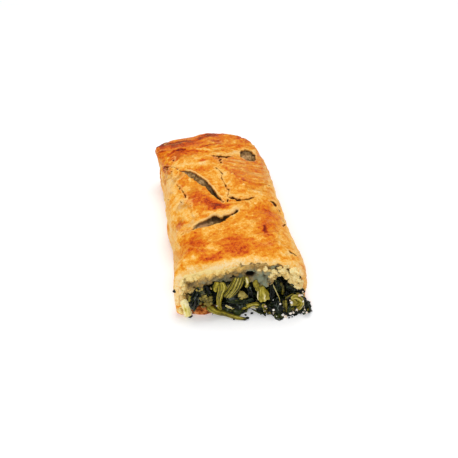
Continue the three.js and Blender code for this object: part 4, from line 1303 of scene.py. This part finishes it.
torn_rows = shape[first_face + 2 : first_cavity + 2]
row_index = np.arange(len(torn_rows) - 1)[:, None]
torn_column = np.arange(COLUMNS)[None, :]
next_column = (torn_column + 1) % COLUMNS
quads = np.stack([
    row_index * COLUMNS + torn_column, row_index * COLUMNS + next_column,
    (row_index + 1) * COLUMNS + next_column, (row_index + 1) * COLUMNS + torn_column,
], -1)
middle = torn_rows[:-1]
closed_up = crevice_shade[first_face + 2 : first_cavity + 1] < 0.34
crumbly = (middle[..., 2] > 9) & closed_up & (
    (middle[..., 0] > 15) | (rough(middle[..., 0], middle[..., 1], middle[..., 2], 5.0, 50) > 0.15)
)
bed_vertices, bed_faces = joined([
    (torn_rows.reshape(-1, 3), quads[crumbly].tolist()), (lump_vertices, lump_faces),
])
crumb_bed = bpy.data.meshes.new("crumb_bed")
crumb_bed.from_pydata((bed_vertices * MM + np.array(SHIFT)).tolist(), [], bed_faces)
layer = crumb_bed.attributes.new("soaked", "FLOAT", "POINT")
bed_soaked = np.concatenate([soaked[first_face + 2 : first_cavity + 2].ravel(), lump_soak_and_shade])
layer.data.foreach_set("value", bed_soaked.astype(np.float32))
granules = scattered(
    "crumb_granules",
    crumb_bed,
    scatter_tree("lay_granules", granule_material, "tone"),
    {
        "Density": 520000.0,
        "Smallest": (0.0003, 0.0003, 0.00025),
        "Largest": (0.0009, 0.0008, 0.0006),
        "Tilt": 3.0,
        "Crumple": 0.9,
        "Detail": 3,
        "Seed": 8,
    },
)
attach(granules, "root")

# ---------------------------------------------------------------------------------------------
# Whole leaves and stalks that show in the cut: soft ribbed stalks, yellow-green where cooked
# and pale at the core, and folded leaves between them.


def curve_through(points, count):
    """A smooth line through the points, as that many evenly shared stations."""
    points = np.asarray(points, float)
    ends = np.vstack([2 * points[0] - points[1], points, 2 * points[-1] - points[-2]])
    at = np.linspace(0, len(points) - 1, count)
    k = np.minimum(at.astype(int), len(points) - 2)
    t = (at - k)[:, None]
    a, b, c, d = ends[k], ends[k + 1], ends[k + 2], ends[k + 3]
    return 0.5 * (2 * b + (c - a) * t + (2 * a - 5 * b + 4 * c - d) * t**2 + (3 * b - a - 3 * c + d) * t**3)


def along_frames(line):
    """Directions along the line, to its side and out of it, turning as little as they can."""
    ahead = np.gradient(line, axis=0)
    ahead /= np.linalg.norm(ahead, axis=1, keepdims=True)
    toward = np.tile([0.1, -0.8, 0.45], (len(line), 1))
    side = np.cross(ahead, toward)
    side /= np.linalg.norm(side, axis=1, keepdims=True)
    return ahead, side, np.cross(side, ahead)


def stalk(points, width, thick, seed, ribs=5, taper=0.8, stations=40, around=32, rib_depth=0.13, blunt=10):
    """A ribbed stalk along the points: (vertices, faces, ribs and fibres as numbers for each vertex)."""
    line = curve_through(points, stations)
    share = np.linspace(0, 1, stations)
    zero = 0 * share
    stray = [rough(share * 6, zero, zero, 1.0, seed + k) for k in (5, 6, 7)]
    line = line + 0.09 * width * np.stack(stray, -1)
    ahead, side, out = along_frames(line)
    closing = np.clip(1 - (np.abs(2 * share - 1)) ** blunt, 0.02, 1) ** 0.5
    size = closing * (1 + (taper - 1) * share) * (1 + 0.2 * rough(share * 7, zero, zero, 1.0, seed))
    angle = 2 * math.pi * np.arange(around) / around
    ring_x, ring_y = np.cos(angle)[None, :] + zero[:, None], np.sin(angle)[None, :] + zero[:, None]
    wobble = rough(3 * ring_x, 3 * ring_y, 6 * share[:, None] + zero[:, None], 1.5, seed + 2)
    rib = 2 * np.abs(np.cos(ribs / 2 * angle[None, :] + 0.5 * share[:, None] + seed)) - 1
    radius = size[:, None] * (1 + rib_depth * (rib - 0.3) + 0.12 * wobble)
    place = line[:, None, :] + side[:, None, :] * (radius * ring_x * width / 2)[..., None]
    place = place + out[:, None, :] * (radius * ring_y * thick / 2)[..., None]
    tips = np.array([line[0] - ahead[0] * 0.1, line[-1] + ahead[-1] * 0.1])
    fibres = rough(3.2 * ring_x, 3.2 * ring_y, 2.5 * share[:, None] + zero[:, None], 1.0, seed + 3)
    tint = 0.5 * rib + 0.9 * fibres
    faces = [face[::-1] for face in ring_faces(stations, around)]
    return np.vstack([place.reshape(-1, 3), tips]), faces, np.concatenate([tint.ravel(), [0.0, 0.0]])


def folded_leaf(points, width, cup, seed, folds=1.5, thick=0.3, stations=34, across=20):
    """A crumpled leaf along the points, with two faces and a closed edge."""
    line = curve_through(points, stations)
    ahead, side, out = along_frames(line)
    u = np.linspace(0, 1, stations)
    v = np.linspace(-1, 1, across)
    ragged_edge = 1 + 0.3 * rough(u[:, None] * 6, np.sign(v)[None, :] * 3.0, 0 * u[:, None], 1.0, seed + 4)
    half = width / 2 * np.clip(np.sin(math.pi * np.clip(u * 0.94 + 0.03, 0, 1)), 0, 1) ** 0.5
    grid_v = half[:, None] * v[None, :] * ragged_edge
    flat = 0 * grid_v
    ripple = 0.8 * rough(u[:, None] * 6, v[None, :] * 2.0, flat, 1.0, seed) * (0.4 + 0.6 * np.abs(v))
    ripple = ripple + 0.4 * rough(u[:, None] * 14, v[None, :] * 5.0, flat, 1.0, seed + 1)
    bend = rough(u[:, None] * 4, flat, flat, 1.0, seed + 2)
    pleat = 0.11 * width * np.cos(folds * math.pi * v[None, :] + seed + 1.6 * bend)
    fold = -cup * np.abs(v[None, :]) ** 1.6 + ripple + pleat
    sheet = line[:, None, :] + side[:, None, :] * grid_v[..., None] + out[:, None, :] * fold[..., None]
    normals = np.cross(np.gradient(sheet, axis=0), np.gradient(sheet, axis=1))
    normals /= np.linalg.norm(normals, axis=-1, keepdims=True) + 1e-9
    edge = 1 - 0.8 * np.abs(v[None, :, None]) ** 6
    back = sheet - normals * thick * edge
    loops = np.concatenate([sheet, back[:, ::-1]], axis=1)
    loops[..., 2] = np.maximum(loops[..., 2], 0.02)
    tips = np.array([loops[0].mean(axis=0), loops[-1].mean(axis=0)])
    faces = [face[::-1] for face in ring_faces(stations, 2 * across)]
    return np.vstack([loops.reshape(-1, 3), tips]), faces


# Each leaf: its middle line, width, how much it cups, seed, pleats, and how light it is from 0 to 1
LEAVES = [
    ([(-24.8, -1.4, 20.8), (-26.2, -3.1, 16.3), (-27.2, -3.6, 11.6), (-28.2, -2.8, 5.4)],
     6.6, 1.4, 61, 3.0, 0.26),
    ([(-28.6, -2.0, 16.5), (-29.6, -2.4, 11.5), (-29.6, -2.0, 6.5)], 3.0, 0.8, 62, 1.5, 0.2),
    ([(-20.6, -0.8, 21.4), (-19.4, -1.8, 17.4), (-20.0, -2.2, 13.8)], 4.6, 1.0, 63, 1.5, 0.06),
    ([(-12.2, -0.8, 22.6), (-10.0, -1.5, 21.2), (-7.6, -1.2, 21.8)], 3.0, 0.7, 64, 1.5, 0.22),
    ([(-20.2, -2.6, 16.4), (-18.8, -3.0, 12.6), (-17.4, -3.2, 8.6)], 4.6, 1.2, 65, 2.5, 0.42),
    ([(-11.6, -2.6, 14.6), (-6.0, -3.6, 12.6), (0.4, -3.4, 13.6)], 4.4, 1.2, 66, 2.0, 0.1),
    ([(-9.8, -4.2, 11.4), (-4.2, -4.8, 9.9), (0.6, -4.8, 9.0), (5.0, -4.2, 10.6)], 2.8, 0.8, 67, 1.5, 0.56),
    ([(-12.4, -3.6, 8.6), (-5.0, -4.9, 7.0), (1.0, -5.0, 6.6), (6.0, -4.8, 7.6)], 4.4, 1.2, 68, 2.0, 0.1),
    ([(-5.4, -4.9, 6.8), (-3.6, -5.2, 4.6), (-1.8, -5.0, 2.8)], 3.4, 0.8, 69, 2.0, 0.42),
    ([(-10.8, -3.6, 6.4), (-6.0, -4.0, 3.6), (0.0, -4.2, 3.2)], 4.2, 0.8, 70, 1.5, 0.04),
    ([(3.4, -1.4, 18.2), (4.0, -2.8, 12.6), (4.6, -3.4, 7.6)], 5.2, 1.2, 71, 2.0, 0.08),
    ([(15.6, -3.2, 18.0), (16.2, -4.6, 12.6), (16.8, -5.8, 6.0)], 4.2, 1.2, 72, 1.5, 0.1),
    ([(17.6, -2.6, 21.4), (19.8, -3.6, 18.4), (19.0, -4.2, 14.2)], 3.2, 0.9, 73, 1.5, 0.5),
    ([(23.6, -3.4, 19.0), (28.0, -4.6, 15.8), (34.6, -5.2, 11.6)], 5.0, 1.2, 74, 2.0, 0.08),
    ([(26.2, -5.2, 13.4), (30.4, -6.2, 12.0), (34.2, -6.4, 9.6)], 3.6, 1.0, 75, 1.5, 0.36),
    ([(18.6, -7.2, 9.0), (19.4, -8.4, 5.0), (19.6, -9.6, 1.4)], 4.0, 1.0, 76, 2.0, 0.34),
    ([(12.6, -6.4, 5.2), (16.4, -8.4, 3.4), (20.4, -10.2, 1.4)], 4.0, 1.0, 77, 2.0, 0.18),
    ([(24.2, -9.8, 2.6), (28.0, -10.0, 1.6), (31.6, -9.6, 2.2)], 3.2, 0.9, 78, 1.5, 0.16),
    ([(33.4, -7.0, 7.6), (35.3, -8.0, 5.4), (36.4, -8.8, 2.8), (35.8, -9.8, 0.9)], 4.2, 1.4, 79, 2.0, 0.14),
    ([(34.8, -9.2, 4.6), (36.6, -10.4, 2.6), (36.4, -11.2, 0.8)], 3.6, 1.0, 80, 1.5, 0.5),
    ([(24.2, -4.4, 13.6), (24.6, -6.2, 9.6), (24.8, -7.6, 5.0)], 3.6, 1.0, 81, 2.0, 0.14),
    ([(9.4, -5.4, 7.4), (12.0, -6.0, 5.8), (15.0, -6.6, 4.4)], 3.0, 0.8, 82, 1.5, 0.3),
]
leaf_parts = [folded_leaf(*leaf[:5]) for leaf in LEAVES]
leaf_vertices, leaf_faces = joined(leaf_parts)
leaf_tones = np.concatenate([np.full(len(part[0]), leaf[5]) for part, leaf in zip(leaf_parts, LEAVES)])
whole_leaves = mesh_piece("folded_leaves", leaf_vertices, leaf_faces, {"tone": leaf_tones})
whole_leaves.data.materials.append(leaf_material)
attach(whole_leaves, "root")

torn_bits = scattered(
    "torn_bits",
    whole_leaves.data.copy(),
    leaf_tree,
    {
        "Density": 150000.0,
        "Smallest": (0.0003, 0.0002, 0.0001),
        "Largest": (0.0015, 0.0010, 0.0004),
        "Tilt": 1.2,
        "Crumple": 1.6,
        "Detail": 3,
        "Seed": 17,
    },
)
keep_above_floor(torn_bits)
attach(torn_bits, "root")

# Each stalk: its line, width, thickness, seed, how light it is from 0 to 1, ribs, and taper
STALKS = [
    ([(-14.2, -1.4, 23.8), (-15.2, -2.4, 21.2), (-15.8, -2.6, 17.8)], 3.6, 2.2, 1, 0.62, 3, 0.7),
    ([(-12.6, -1.8, 23.8), (-12.2, -3.2, 20.6), (-13.4, -3.6, 16.2), (-14.4, -3.8, 11.6), (-14.2, -4.2, 7.4),
      (-12.8, -4.8, 4.6)], 4.4, 2.4, 2, 0.55, 7, 0.42),
    ([(-11.2, -2.6, 21.4), (-10.2, -2.6, 18.4)], 2.4, 1.6, 3, 0.68, 4, 0.8),
    ([(1.4, -1.0, 25.2), (2.2, -1.8, 21.2), (1.2, -2.2, 18.0)], 2.4, 1.4, 4, 0.74, 3, 0.8),
    ([(-10.9, -5.0, 8.7), (-8.1, -5.4, 6.7), (-5.6, -5.2, 5.4)], 1.2, 0.8, 5, 1.0, 3, 0.8),
    ([(6.2, -2.0, 22.8), (7.1, -3.0, 19.3), (8.8, -3.4, 15.6)], 2.8, 2.0, 6, 0.58, 5, 1.0),
    ([(9.6, -3.0, 18.4), (10.6, -4.2, 13.8), (11.5, -4.4, 9.4)], 3.2, 2.8, 7, 0.8, 7, 2.3),
    ([(8.0, -4.2, 16.4), (7.7, -4.8, 11.8), (9.2, -5.0, 8.6)], 1.1, 0.9, 8, 0.98, 3, 0.9),
    ([(-1.5, -5.5, 4.3), (0.9, -5.8, 6.1), (3.2, -5.8, 7.2), (6.7, -5.6, 6.9), (9.2, -5.4, 5.0)],
     2.0, 1.0, 9, 0.56, 4, 1.1),
    ([(3.2, -6.1, 5.6), (6.2, -6.3, 5.1), (8.8, -6.0, 4.6)], 0.7, 0.5, 10, 1.0, 3, 1.0),
    ([(10.6, -5.8, 6.8), (11.6, -6.6, 3.8), (12.2, -7.2, 0.9)], 3.0, 1.1, 11, 0.5, 4, 0.7),
    ([(16.0, -4.8, 20.4), (17.8, -5.6, 15.6), (19.6, -6.4, 10.8), (20.2, -7.0, 7.0)],
     0.5, 0.5, 12, 0.92, 3, 0.8),
    ([(20.4, -4.0, 20.2), (22.0, -4.4, 16.2), (21.8, -4.6, 11.2)], 1.5, 1.2, 13, 0.34, 4, 0.9),
    ([(13.6, -6.8, 4.6), (17.4, -9.4, 2.4)], 0.6, 0.5, 14, 0.85, 3, 0.9),
    ([(23.2, -6.6, 9.3), (24.8, -7.0, 11.7), (26.7, -7.0, 12.8), (29.4, -7.0, 10.6)],
     1.5, 1.1, 15, 0.28, 3, 1.0),
    ([(26.2, -7.8, 10.6), (28.2, -8.2, 12.2), (31.0, -8.4, 10.6), (32.7, -8.4, 7.4), (31.9, -8.4, 3.6),
      (29.2, -8.6, 2.2), (25.9, -8.4, 2.7)], 2.5, 1.6, 16, 0.8, 5, 1.1),
    ([(27.2, -7.6, 10.0), (29.4, -7.8, 7.2), (28.2, -7.8, 4.4)], 4.6, 1.4, 17, 0.64, 6, 0.9),
    ([(32.6, -9.2, 9.0), (33.3, -9.4, 5.8), (31.4, -9.6, 2.8), (28.4, -9.4, 1.8)], 0.8, 0.6, 18, 1.0, 3, 0.9),
    ([(22.9, -8.2, 10.4), (23.4, -9.2, 5.8), (23.6, -10.0, 1.4)], 1.3, 1.0, 19, 0.55, 3, 0.9),
    ([(21.6, -7.8, 9.8), (22.0, -9.0, 6.0), (22.0, -9.9, 2.4)], 1.0, 0.8, 20, 0.36, 3, 0.9),
    ([(35.4, -11.0, 3.8), (37.0, -10.8, 2.0)], 1.5, 1.0, 21, 0.66, 3, 0.8),
    ([(31.6, -6.4, 11.4), (34.0, -6.8, 10.0)], 1.2, 0.8, 22, 0.9, 3, 0.8),
    ([(-30.0, -2.7, 17.0), (-30.5, -2.8, 12.8)], 1.8, 1.2, 23, 0.62, 3, 0.8),
    ([(25.0, -3.6, 17.6), (27.8, -4.8, 16.2)], 1.2, 0.9, 24, 0.3, 3, 0.8),
    ([(12.8, -3.9, 8.8), (14.6, -4.5, 8.6)], 0.8, 0.6, 25, 0.95, 3, 0.8),
]
# A sheaf of ribs pulled out of the mass together, from its left edge to its right: x, y, z
SHEAF_LEFT = [(-5.0, -1.2, 26.4), (-8.2, -2.8, 20.4), (-12.0, -3.2, 14.4)]
SHEAF_RIGHT = [(0.6, -1.2, 26.6), (-1.6, -3.0, 20.0), (-6.6, -3.4, 13.2)]
SHEAF_LIGHT = [0.3, 0.66, 0.3, 0.74, 0.36, 0.7, 0.34, 0.62, 0.4]
for strand, light in enumerate(SHEAF_LIGHT):
    across = strand / (len(SHEAF_LIGHT) - 1)
    line = np.array(SHEAF_LEFT) * (1 - across) + np.array(SHEAF_RIGHT) * across
    line[:, 1] -= 1.3 * (1 - (2 * across - 1) ** 2)
    STALKS.append((line, 1.0, 1.2, 40 + strand, light, 3, 0.9))
stalk_parts = [
    stalk(line, width, thick, seed, ribs, taper)
    for line, width, thick, seed, light, ribs, taper in STALKS
]

# Lumps chopped small from stalks, onion and leaves: place, three radii, and how light
LUMPS = [
    ((-1.3, -3.4, 13.7), (2.2, 1.3, 2.3), 0.74), ((0.6, -3.3, 12.6), (1.4, 1.1, 1.3), 0.62),
    ((-24.4, -1.5, 19.8), (1.7, 1.1, 0.9), 0.66),
    ((26.6, -8.8, 7.4), (0.8, 0.7, 1.7), 1.0), ((30.4, -6.6, 12.6), (1.2, 0.8, 0.8), 0.5),
]
LUMPS_AT_LEFT = 44
LUMPS_IN_HEAP = 26
spread = np.random.default_rng(21)
for _ in range(LUMPS_AT_LEFT):
    at = (spread.uniform(-24.6, -18.6), spread.uniform(-3.8, -2.8), spread.uniform(7.6, 16.6))
    reach = spread.uniform(0.45, 1.15)
    LUMPS.append((at, (reach, reach * 0.7, reach * spread.uniform(0.6, 1.2)), spread.uniform(0.3, 0.85)))
for _ in range(LUMPS_IN_HEAP):
    x, y, z = spread.uniform(10.0, 37.0), spread.uniform(-9.6, -8.4), spread.uniform(0.8, 5.0)
    at = (x, y + 1.8 * smooth(13.5, 12.6, x), z)
    reach = spread.uniform(0.3, 0.8)
    LUMPS.append((at, (reach, reach * 0.7, reach * spread.uniform(0.6, 1.2)), spread.uniform(0.1, 0.9)))
chopped_parts = []
for number, (at, radii, light) in enumerate(LUMPS):
    chopped_parts.append(blob(np.array(at), np.array(radii), 80 + number, 0.45, 1.1, 12, 16, 0.02))
stalk_vertices, stalk_faces = joined([part[:2] for part in stalk_parts])
lightness = np.concatenate([np.full(len(part[0]), row[4]) for part, row in zip(stalk_parts, STALKS)])
tints = np.concatenate([part[2] for part in stalk_parts])
stalks = mesh_piece("green_stalks", stalk_vertices, stalk_faces, {"light": lightness, "tint": tints})

stalk_material, wire, shader = new_material("cooked_stalk")
fibre = wire.noise(0.8, 3.0)
patch = wire.noise(3.2, 2.0)
mix = wire.attribute("light") * 0.8 + fibre * 0.36 + patch * 0.3 + wire.attribute("tint") * 0.3 - 0.36
STALK_STOPS = [
    (0.0, colour(14, 16, 4)),
    (0.18, colour(42, 42, 8)),
    (0.36, colour(96, 86, 12)),
    (0.54, colour(146, 130, 24)),
    (0.7, colour(186, 170, 58)),
    (0.84, colour(212, 196, 116)),
    (1.0, colour(244, 230, 196)),
]
feed(shader, mix.ramp(STALK_STOPS), "Base Color")
feed(shader, fibre * 0.3 + 0.14, "Roughness")
feed(shader, bumped(wire, fibre + wire.attribute("tint") * 0.2, 0.3), "Normal")
shader.inputs["Specular IOR Level"].default_value = 0.25
glowing_inside(shader, 0.08, (0.0012, 0.0012, 0.0004))
stalks.data.materials.append(stalk_material)
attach(stalks, "root")

chopped_tones = np.concatenate([np.full(len(part[0]), row[2]) for part, row in zip(chopped_parts, LUMPS)])
chopped = mesh_piece("chopped_lumps", *joined(chopped_parts), {"tone": chopped_tones})
chopped_material, wire, shader = new_material("chopped_mush")
fine = wire.noise(0.7, 3.0)
tone = wire.attribute("tone") * 0.7 + fine * 0.5 + wire.noise(2.4, 2.0) * 0.3 - 0.25
feed(
    shader,
    tone.ramp([
        (0.1, colour(26, 26, 10)), (0.34, colour(88, 78, 24)), (0.56, colour(142, 124, 48)),
        (0.8, colour(196, 176, 94)),
        (1.0, colour(238, 222, 168)),
    ]),
    "Base Color",
)
feed(shader, fine * 0.4 + 0.14, "Roughness")
feed(shader, bumped(wire, fine, 0.3), "Normal")
shader.inputs["Specular IOR Level"].default_value = 0.25
chopped.data.materials.append(chopped_material)
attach(chopped, "root")

# ---------------------------------------------------------------------------------------------
# Pale grains: crumbs of soft dough and onion that came out with the filling and stick to it, and pale specks
# on the wet heap that stand in for glints, a painted highlight.

# Each grain before it settles: x, y, z, size
GRAINS_AND_GLINTS = [
    (11.5, -7.6, 6.6, 0.75), (16.1, -9.0, 4.2, 0.7), (16.8, -8.6, 6.2, 0.5), (21.1, -11.2, 1.6, 0.85),
    (22.3, -12.2, 1.2, 0.9), (25.6, -11.0, 1.9, 0.8), (27.2, -11.0, 2.2, 0.75), (29.3, -10.4, 3.8, 0.6),
    (33.2, -11.0, 1.6, 0.6), (35.0, -11.4, 1.4, 0.7), (26.0, -9.6, 9.2, 0.75), (25.4, -9.0, 10.6, 0.6),
    (16.0, -7.0, 10.4, 0.4), (31.0, -7.8, 12.2, 0.8), (32.2, -7.6, 12.2, 0.7), (33.0, -6.8, 14.0, 0.5),
    (19.8, -8.8, 8.4, 0.6), (22.8, -12.6, 0.6, 0.5), (20.0, -11.4, 0.7, 0.55), (33.0, -8.8, 8.0, 0.5),
    (-15.4, -4.4, 8.4, 0.5),
]
FINE_GRAINS_AND_GLINTS = 34
spread = np.random.default_rng(31)
for _ in range(FINE_GRAINS_AND_GLINTS):
    at = spread.uniform(10, 37)
    out = 7.6 + 4.2 * math.exp(-((at - 23.5) / 9.0) ** 2) + spread.uniform(-1.2, 0.5)
    GRAINS_AND_GLINTS.append((at, -out, spread.uniform(0.2, 3.6), spread.uniform(0.16, 0.36)))
heap_points = [
    np.array([v.co for v in piece.data.vertices])
    for piece in (core, leaves, whole_leaves, stalks)
]
heap_points = (np.vstack(heap_points) - np.array(SHIFT)) / MM
SLOPE = np.array([-0.2, -0.64, 0.74])


def settled(place, reach):
    """The place moved down the slope toward the heap until it rests on it or on the table."""
    apart = heap_points - place
    along = apart @ SLOPE
    aside = np.linalg.norm(apart - along[:, None] * SLOPE, axis=1)
    touching = along[(aside < reach) & (along > -9) & (along < 9)]
    stop = touching.max() if len(touching) else -9.0
    on_table = (0.5 * reach - place[2]) / SLOPE[2]
    return place + max(stop, on_table) * SLOPE


grain_and_glint_parts = []
for number, (x, y, z, size) in enumerate(GRAINS_AND_GLINTS):
    x, y, z = settled(np.array([x, y, z]), size)
    radii = size * np.array([1.0, 0.8, 0.85 + 0.3 * math.sin(number * 2.1)])
    grain_and_glint_parts.append(blob(np.array([x, y, z]), radii, 140 + number, 0.35, 0.9, 8, 12, 0.0))
grain_and_glint_vertices, grain_and_glint_faces = joined(grain_and_glint_parts)
grain_and_glint_tones = [0.2 + 0.8 * abs(math.sin(number * 1.7)) for number in range(len(GRAINS_AND_GLINTS))]
grain_and_glint_tones = np.concatenate([np.full(len(part[0]), tone) for part, tone in zip(grain_and_glint_parts, grain_and_glint_tones)])
grains_and_glints = mesh_piece("pale_grains_and_glints", grain_and_glint_vertices, grain_and_glint_faces, {"tone": grain_and_glint_tones})
grain_and_glint_material, wire, shader = new_material("pale_grain_and_glint")
fine = wire.noise(0.5, 2.0)
feed(
    shader,
    (wire.attribute("tone") * 0.6 + fine * 0.4).ramp([
        (0.1, colour(206, 168, 130)), (0.45, colour(244, 220, 196)), (0.8, colour(255, 248, 238)),
    ]),
    "Base Color",
)
feed(shader, fine * 0.3 + 0.2, "Roughness")
shader.inputs["Specular IOR Level"].default_value = 0.4
glowing_inside(shader, 0.1, (0.001, 0.0007, 0.0005))
grains_and_glints.data.materials.append(grain_and_glint_material)
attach(grains_and_glints, "root")

# ---------------------------------------------------------------------------------------------
# Loose dark crumbs: burnt flakes and specks of leaf shaken off on the table and on the rim.

# Each speck: x, y, z, size
SPECKS = [
    (-30.7, -2.8, 0.7, 1.0), (-29.6, -2.6, 0.4, 0.5), (0.3, -6.8, 0.6, 0.75), (1.0, -9.6, 1.0, 0.9),
    (0.2, -10.0, 1.6, 0.5), (-6.5, -8.9, 0.5, 0.6), (-3.0, -3.9, 0.9, 1.1), (4.4, -6.1, 0.6, 0.85),
    (3.6, -6.4, 0.4, 0.4), (-38.1, 1.8, 17.6, 0.95), (-37.9, 1.9, 17.2, 0.8), (-37.9, 1.9, 18.5, 0.6),
    (13.2, -8.4, 0.4, 0.5), (9.2, -7.8, 0.4, 0.4), (19.6, -13.0, 0.5, 0.7), (24.4, -12.8, 0.5, 0.6),
    (26.4, -12.4, 0.4, 0.45), (31.8, -11.0, 0.4, 0.4), (38.4, -10.0, 0.5, 0.5),
]
speck_parts = []
for number, (x, y, z, size) in enumerate(SPECKS):
    radii = size * np.array([1.0, 0.8, 0.7])
    speck_parts.append(blob(np.array([x, y, z]), radii, 260 + number, 0.4, 1.1, 9, 14, 0.0))
specks = mesh_piece("loose_specks", *joined(speck_parts))
specks.data.materials.append(core_material)
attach(specks, "root")

# ---------------------------------------------------------------------------------------------
# The stem that has fallen out of the cut onto the table, and the pale cut stalk in the corner.

# The fallen stalk's middle line: x, y, z
FALLEN = [
    (-20.4, -4.4, 8.6), (-19.0, -5.0, 6.9), (-16.6, -5.3, 4.9), (-12.8, -5.6, 3.1), (-8.3, -7.1, 1.9),
    (-3.9, -9.0, 1.3), (0.7, -10.2, 0.9),
]
fallen_vertices, fallen_faces, fallen_tint = stalk(FALLEN, 3.2, 2.7, 31, 6, 0.62, 64, 36, 0.12, 40)
# Darker toward the tip, with a painted highlight near the stalk's upper end
fallen_tone_and_highlight = (
    0.6 - 0.5 * smooth(-4, 0.6, fallen_vertices[:, 0]) + 0.16 * hill(fallen_vertices[:, 0] + 17.4, 0, 2.2)
)
fallen_vertices[:, 2] = np.maximum(fallen_vertices[:, 2], 0.0)
fallen = mesh_piece(
    "fallen_stalk", fallen_vertices, fallen_faces, {"light": fallen_tone_and_highlight, "tint": fallen_tint},
)
fallen.data.materials.append(stalk_material)
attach(fallen, "root")
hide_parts("fallen_stem")

# The pale corner stalk's middle line: x, y, z
CORNER = [(-33.9, -1.7, 13.8), (-33.1, -2.4, 9.9), (-32.3, -2.6, 5.7), (-31.6, -2.3, 0.9)]
corner_vertices, corner_faces, corner_tint = stalk(CORNER, 4.7, 2.8, 32, 7, 0.94, 44, 36, 0.05)
corner_vertices[:, 2] = np.maximum(corner_vertices[:, 2], 0.0)
corner_middle = np.stack([
    np.interp(corner_vertices[:, 2], [1, 6, 10, 14], [-31.6, -32.3, -33.1, -33.9])
], -1)[:, 0]
corner_core = hill(corner_vertices[:, 0] - corner_middle + 0.2, corner_vertices[:, 2] - 7.0, 1.1, 4.0)
corner_light = corner_core * smooth(-1.0, -3.0, corner_vertices[:, 1])
corner = mesh_piece(
    "corner_stalk", corner_vertices, corner_faces, {"light": corner_light, "tint": corner_tint},
)
pale_material, wire, shader = new_material("pale_stalk")
fibre = wire.noise(0.9, 3.0)
patch = wire.noise(2.6, 2.0)
pale = patch * 0.5 + fibre * 0.4 + 0.06 + wire.attribute("tint") * 0.1 - wire.attribute("light") * 0.22
feed(
    shader,
    pale.ramp([
        (0.1, colour(150, 134, 24)), (0.26, colour(208, 190, 68)), (0.4, colour(240, 222, 132)),
        (0.56, colour(254, 240, 186)),
    ]),
    "Base Color",
)
feed(shader, fibre * 0.3 + 0.3, "Roughness")
feed(shader, bumped(wire, fibre, 0.4), "Normal")
shader.inputs["Specular IOR Level"].default_value = 0.3
glowing_inside(shader, 0.1, (0.0015, 0.0015, 0.0006))
corner.data.materials.append(pale_material)
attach(corner, "root")
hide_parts("corner_stem")

# ---------------------------------------------------------------------------------------------
# The studio: a plain white floor, a large soft light overhead and behind, and the camera.

ground = bpy.data.meshes.new("floor")
ground.from_pydata([(-3, -3, 0), (3, -3, 0), (3, 3, 0), (-3, 3, 0)], [], [(0, 1, 2, 3)])
floor = bpy.data.objects.new("floor", ground)
bpy.context.scene.collection.objects.link(floor)
floor_material, wire, shader = new_material("white_floor")
shader.inputs["Base Color"].default_value = (0.88, 0.885, 0.9, 1.0)
shader.inputs["Emission Color"].default_value = (1.0, 1.0, 1.0, 1.0)
shader.inputs["Emission Strength"].default_value = 0.2
shader.inputs["Roughness"].default_value = 0.8
ground.materials.append(floor_material)

world = bpy.data.worlds.new("studio")
world.use_nodes = True
world.node_tree.nodes["Background"].inputs[0].default_value = (1.0, 1.0, 1.0, 1.0)
world.node_tree.nodes["Background"].inputs[1].default_value = 0.55
bpy.context.scene.world = world


def soft_light(name, place, target, size, watts):
    """A round lamp at a place, turned toward a target."""
    lamp = bpy.data.lights.new(name, "AREA")
    lamp.shape = "DISK"
    lamp.size = size
    lamp.energy = watts
    holder = bpy.data.objects.new(name, lamp)
    bpy.context.scene.collection.objects.link(holder)
    holder.location = place
    holder.rotation_euler = (Vector(target) - Vector(place)).to_track_quat("-Z", "Y").to_euler()


soft_light("light_over", (0.1, 0.3, 1.15), (0, 0, 0), 0.6, 5.6)
soft_light("light_front", (-0.35, -0.75, 0.75), (0, -0.03, 0.0), 0.3, 2.3)

camera_data = bpy.data.cameras.new("camera")
camera_data.lens = 43.09
camera_data.sensor_width = 36.0
camera_data.clip_start = 0.01
camera = bpy.data.objects.new("camera", camera_data)
bpy.context.scene.collection.objects.link(camera)
CAMERA_PITCH = math.radians(40.0)
CAMERA_TURN = math.radians(9.402)
forward = Vector((
    math.sin(CAMERA_TURN) * math.cos(CAMERA_PITCH),
    math.cos(CAMERA_TURN) * math.cos(CAMERA_PITCH),
    -math.sin(CAMERA_PITCH),
))
place = Vector(CAMERA_PLACE) * MM + SHIFT
camera.matrix_world = Matrix.Translation(place) @ forward.to_track_quat("-Z", "Y").to_matrix().to_4x4()
bpy.context.scene.camera = camera
bpy.context.scene.view_settings.view_transform = "Standard"
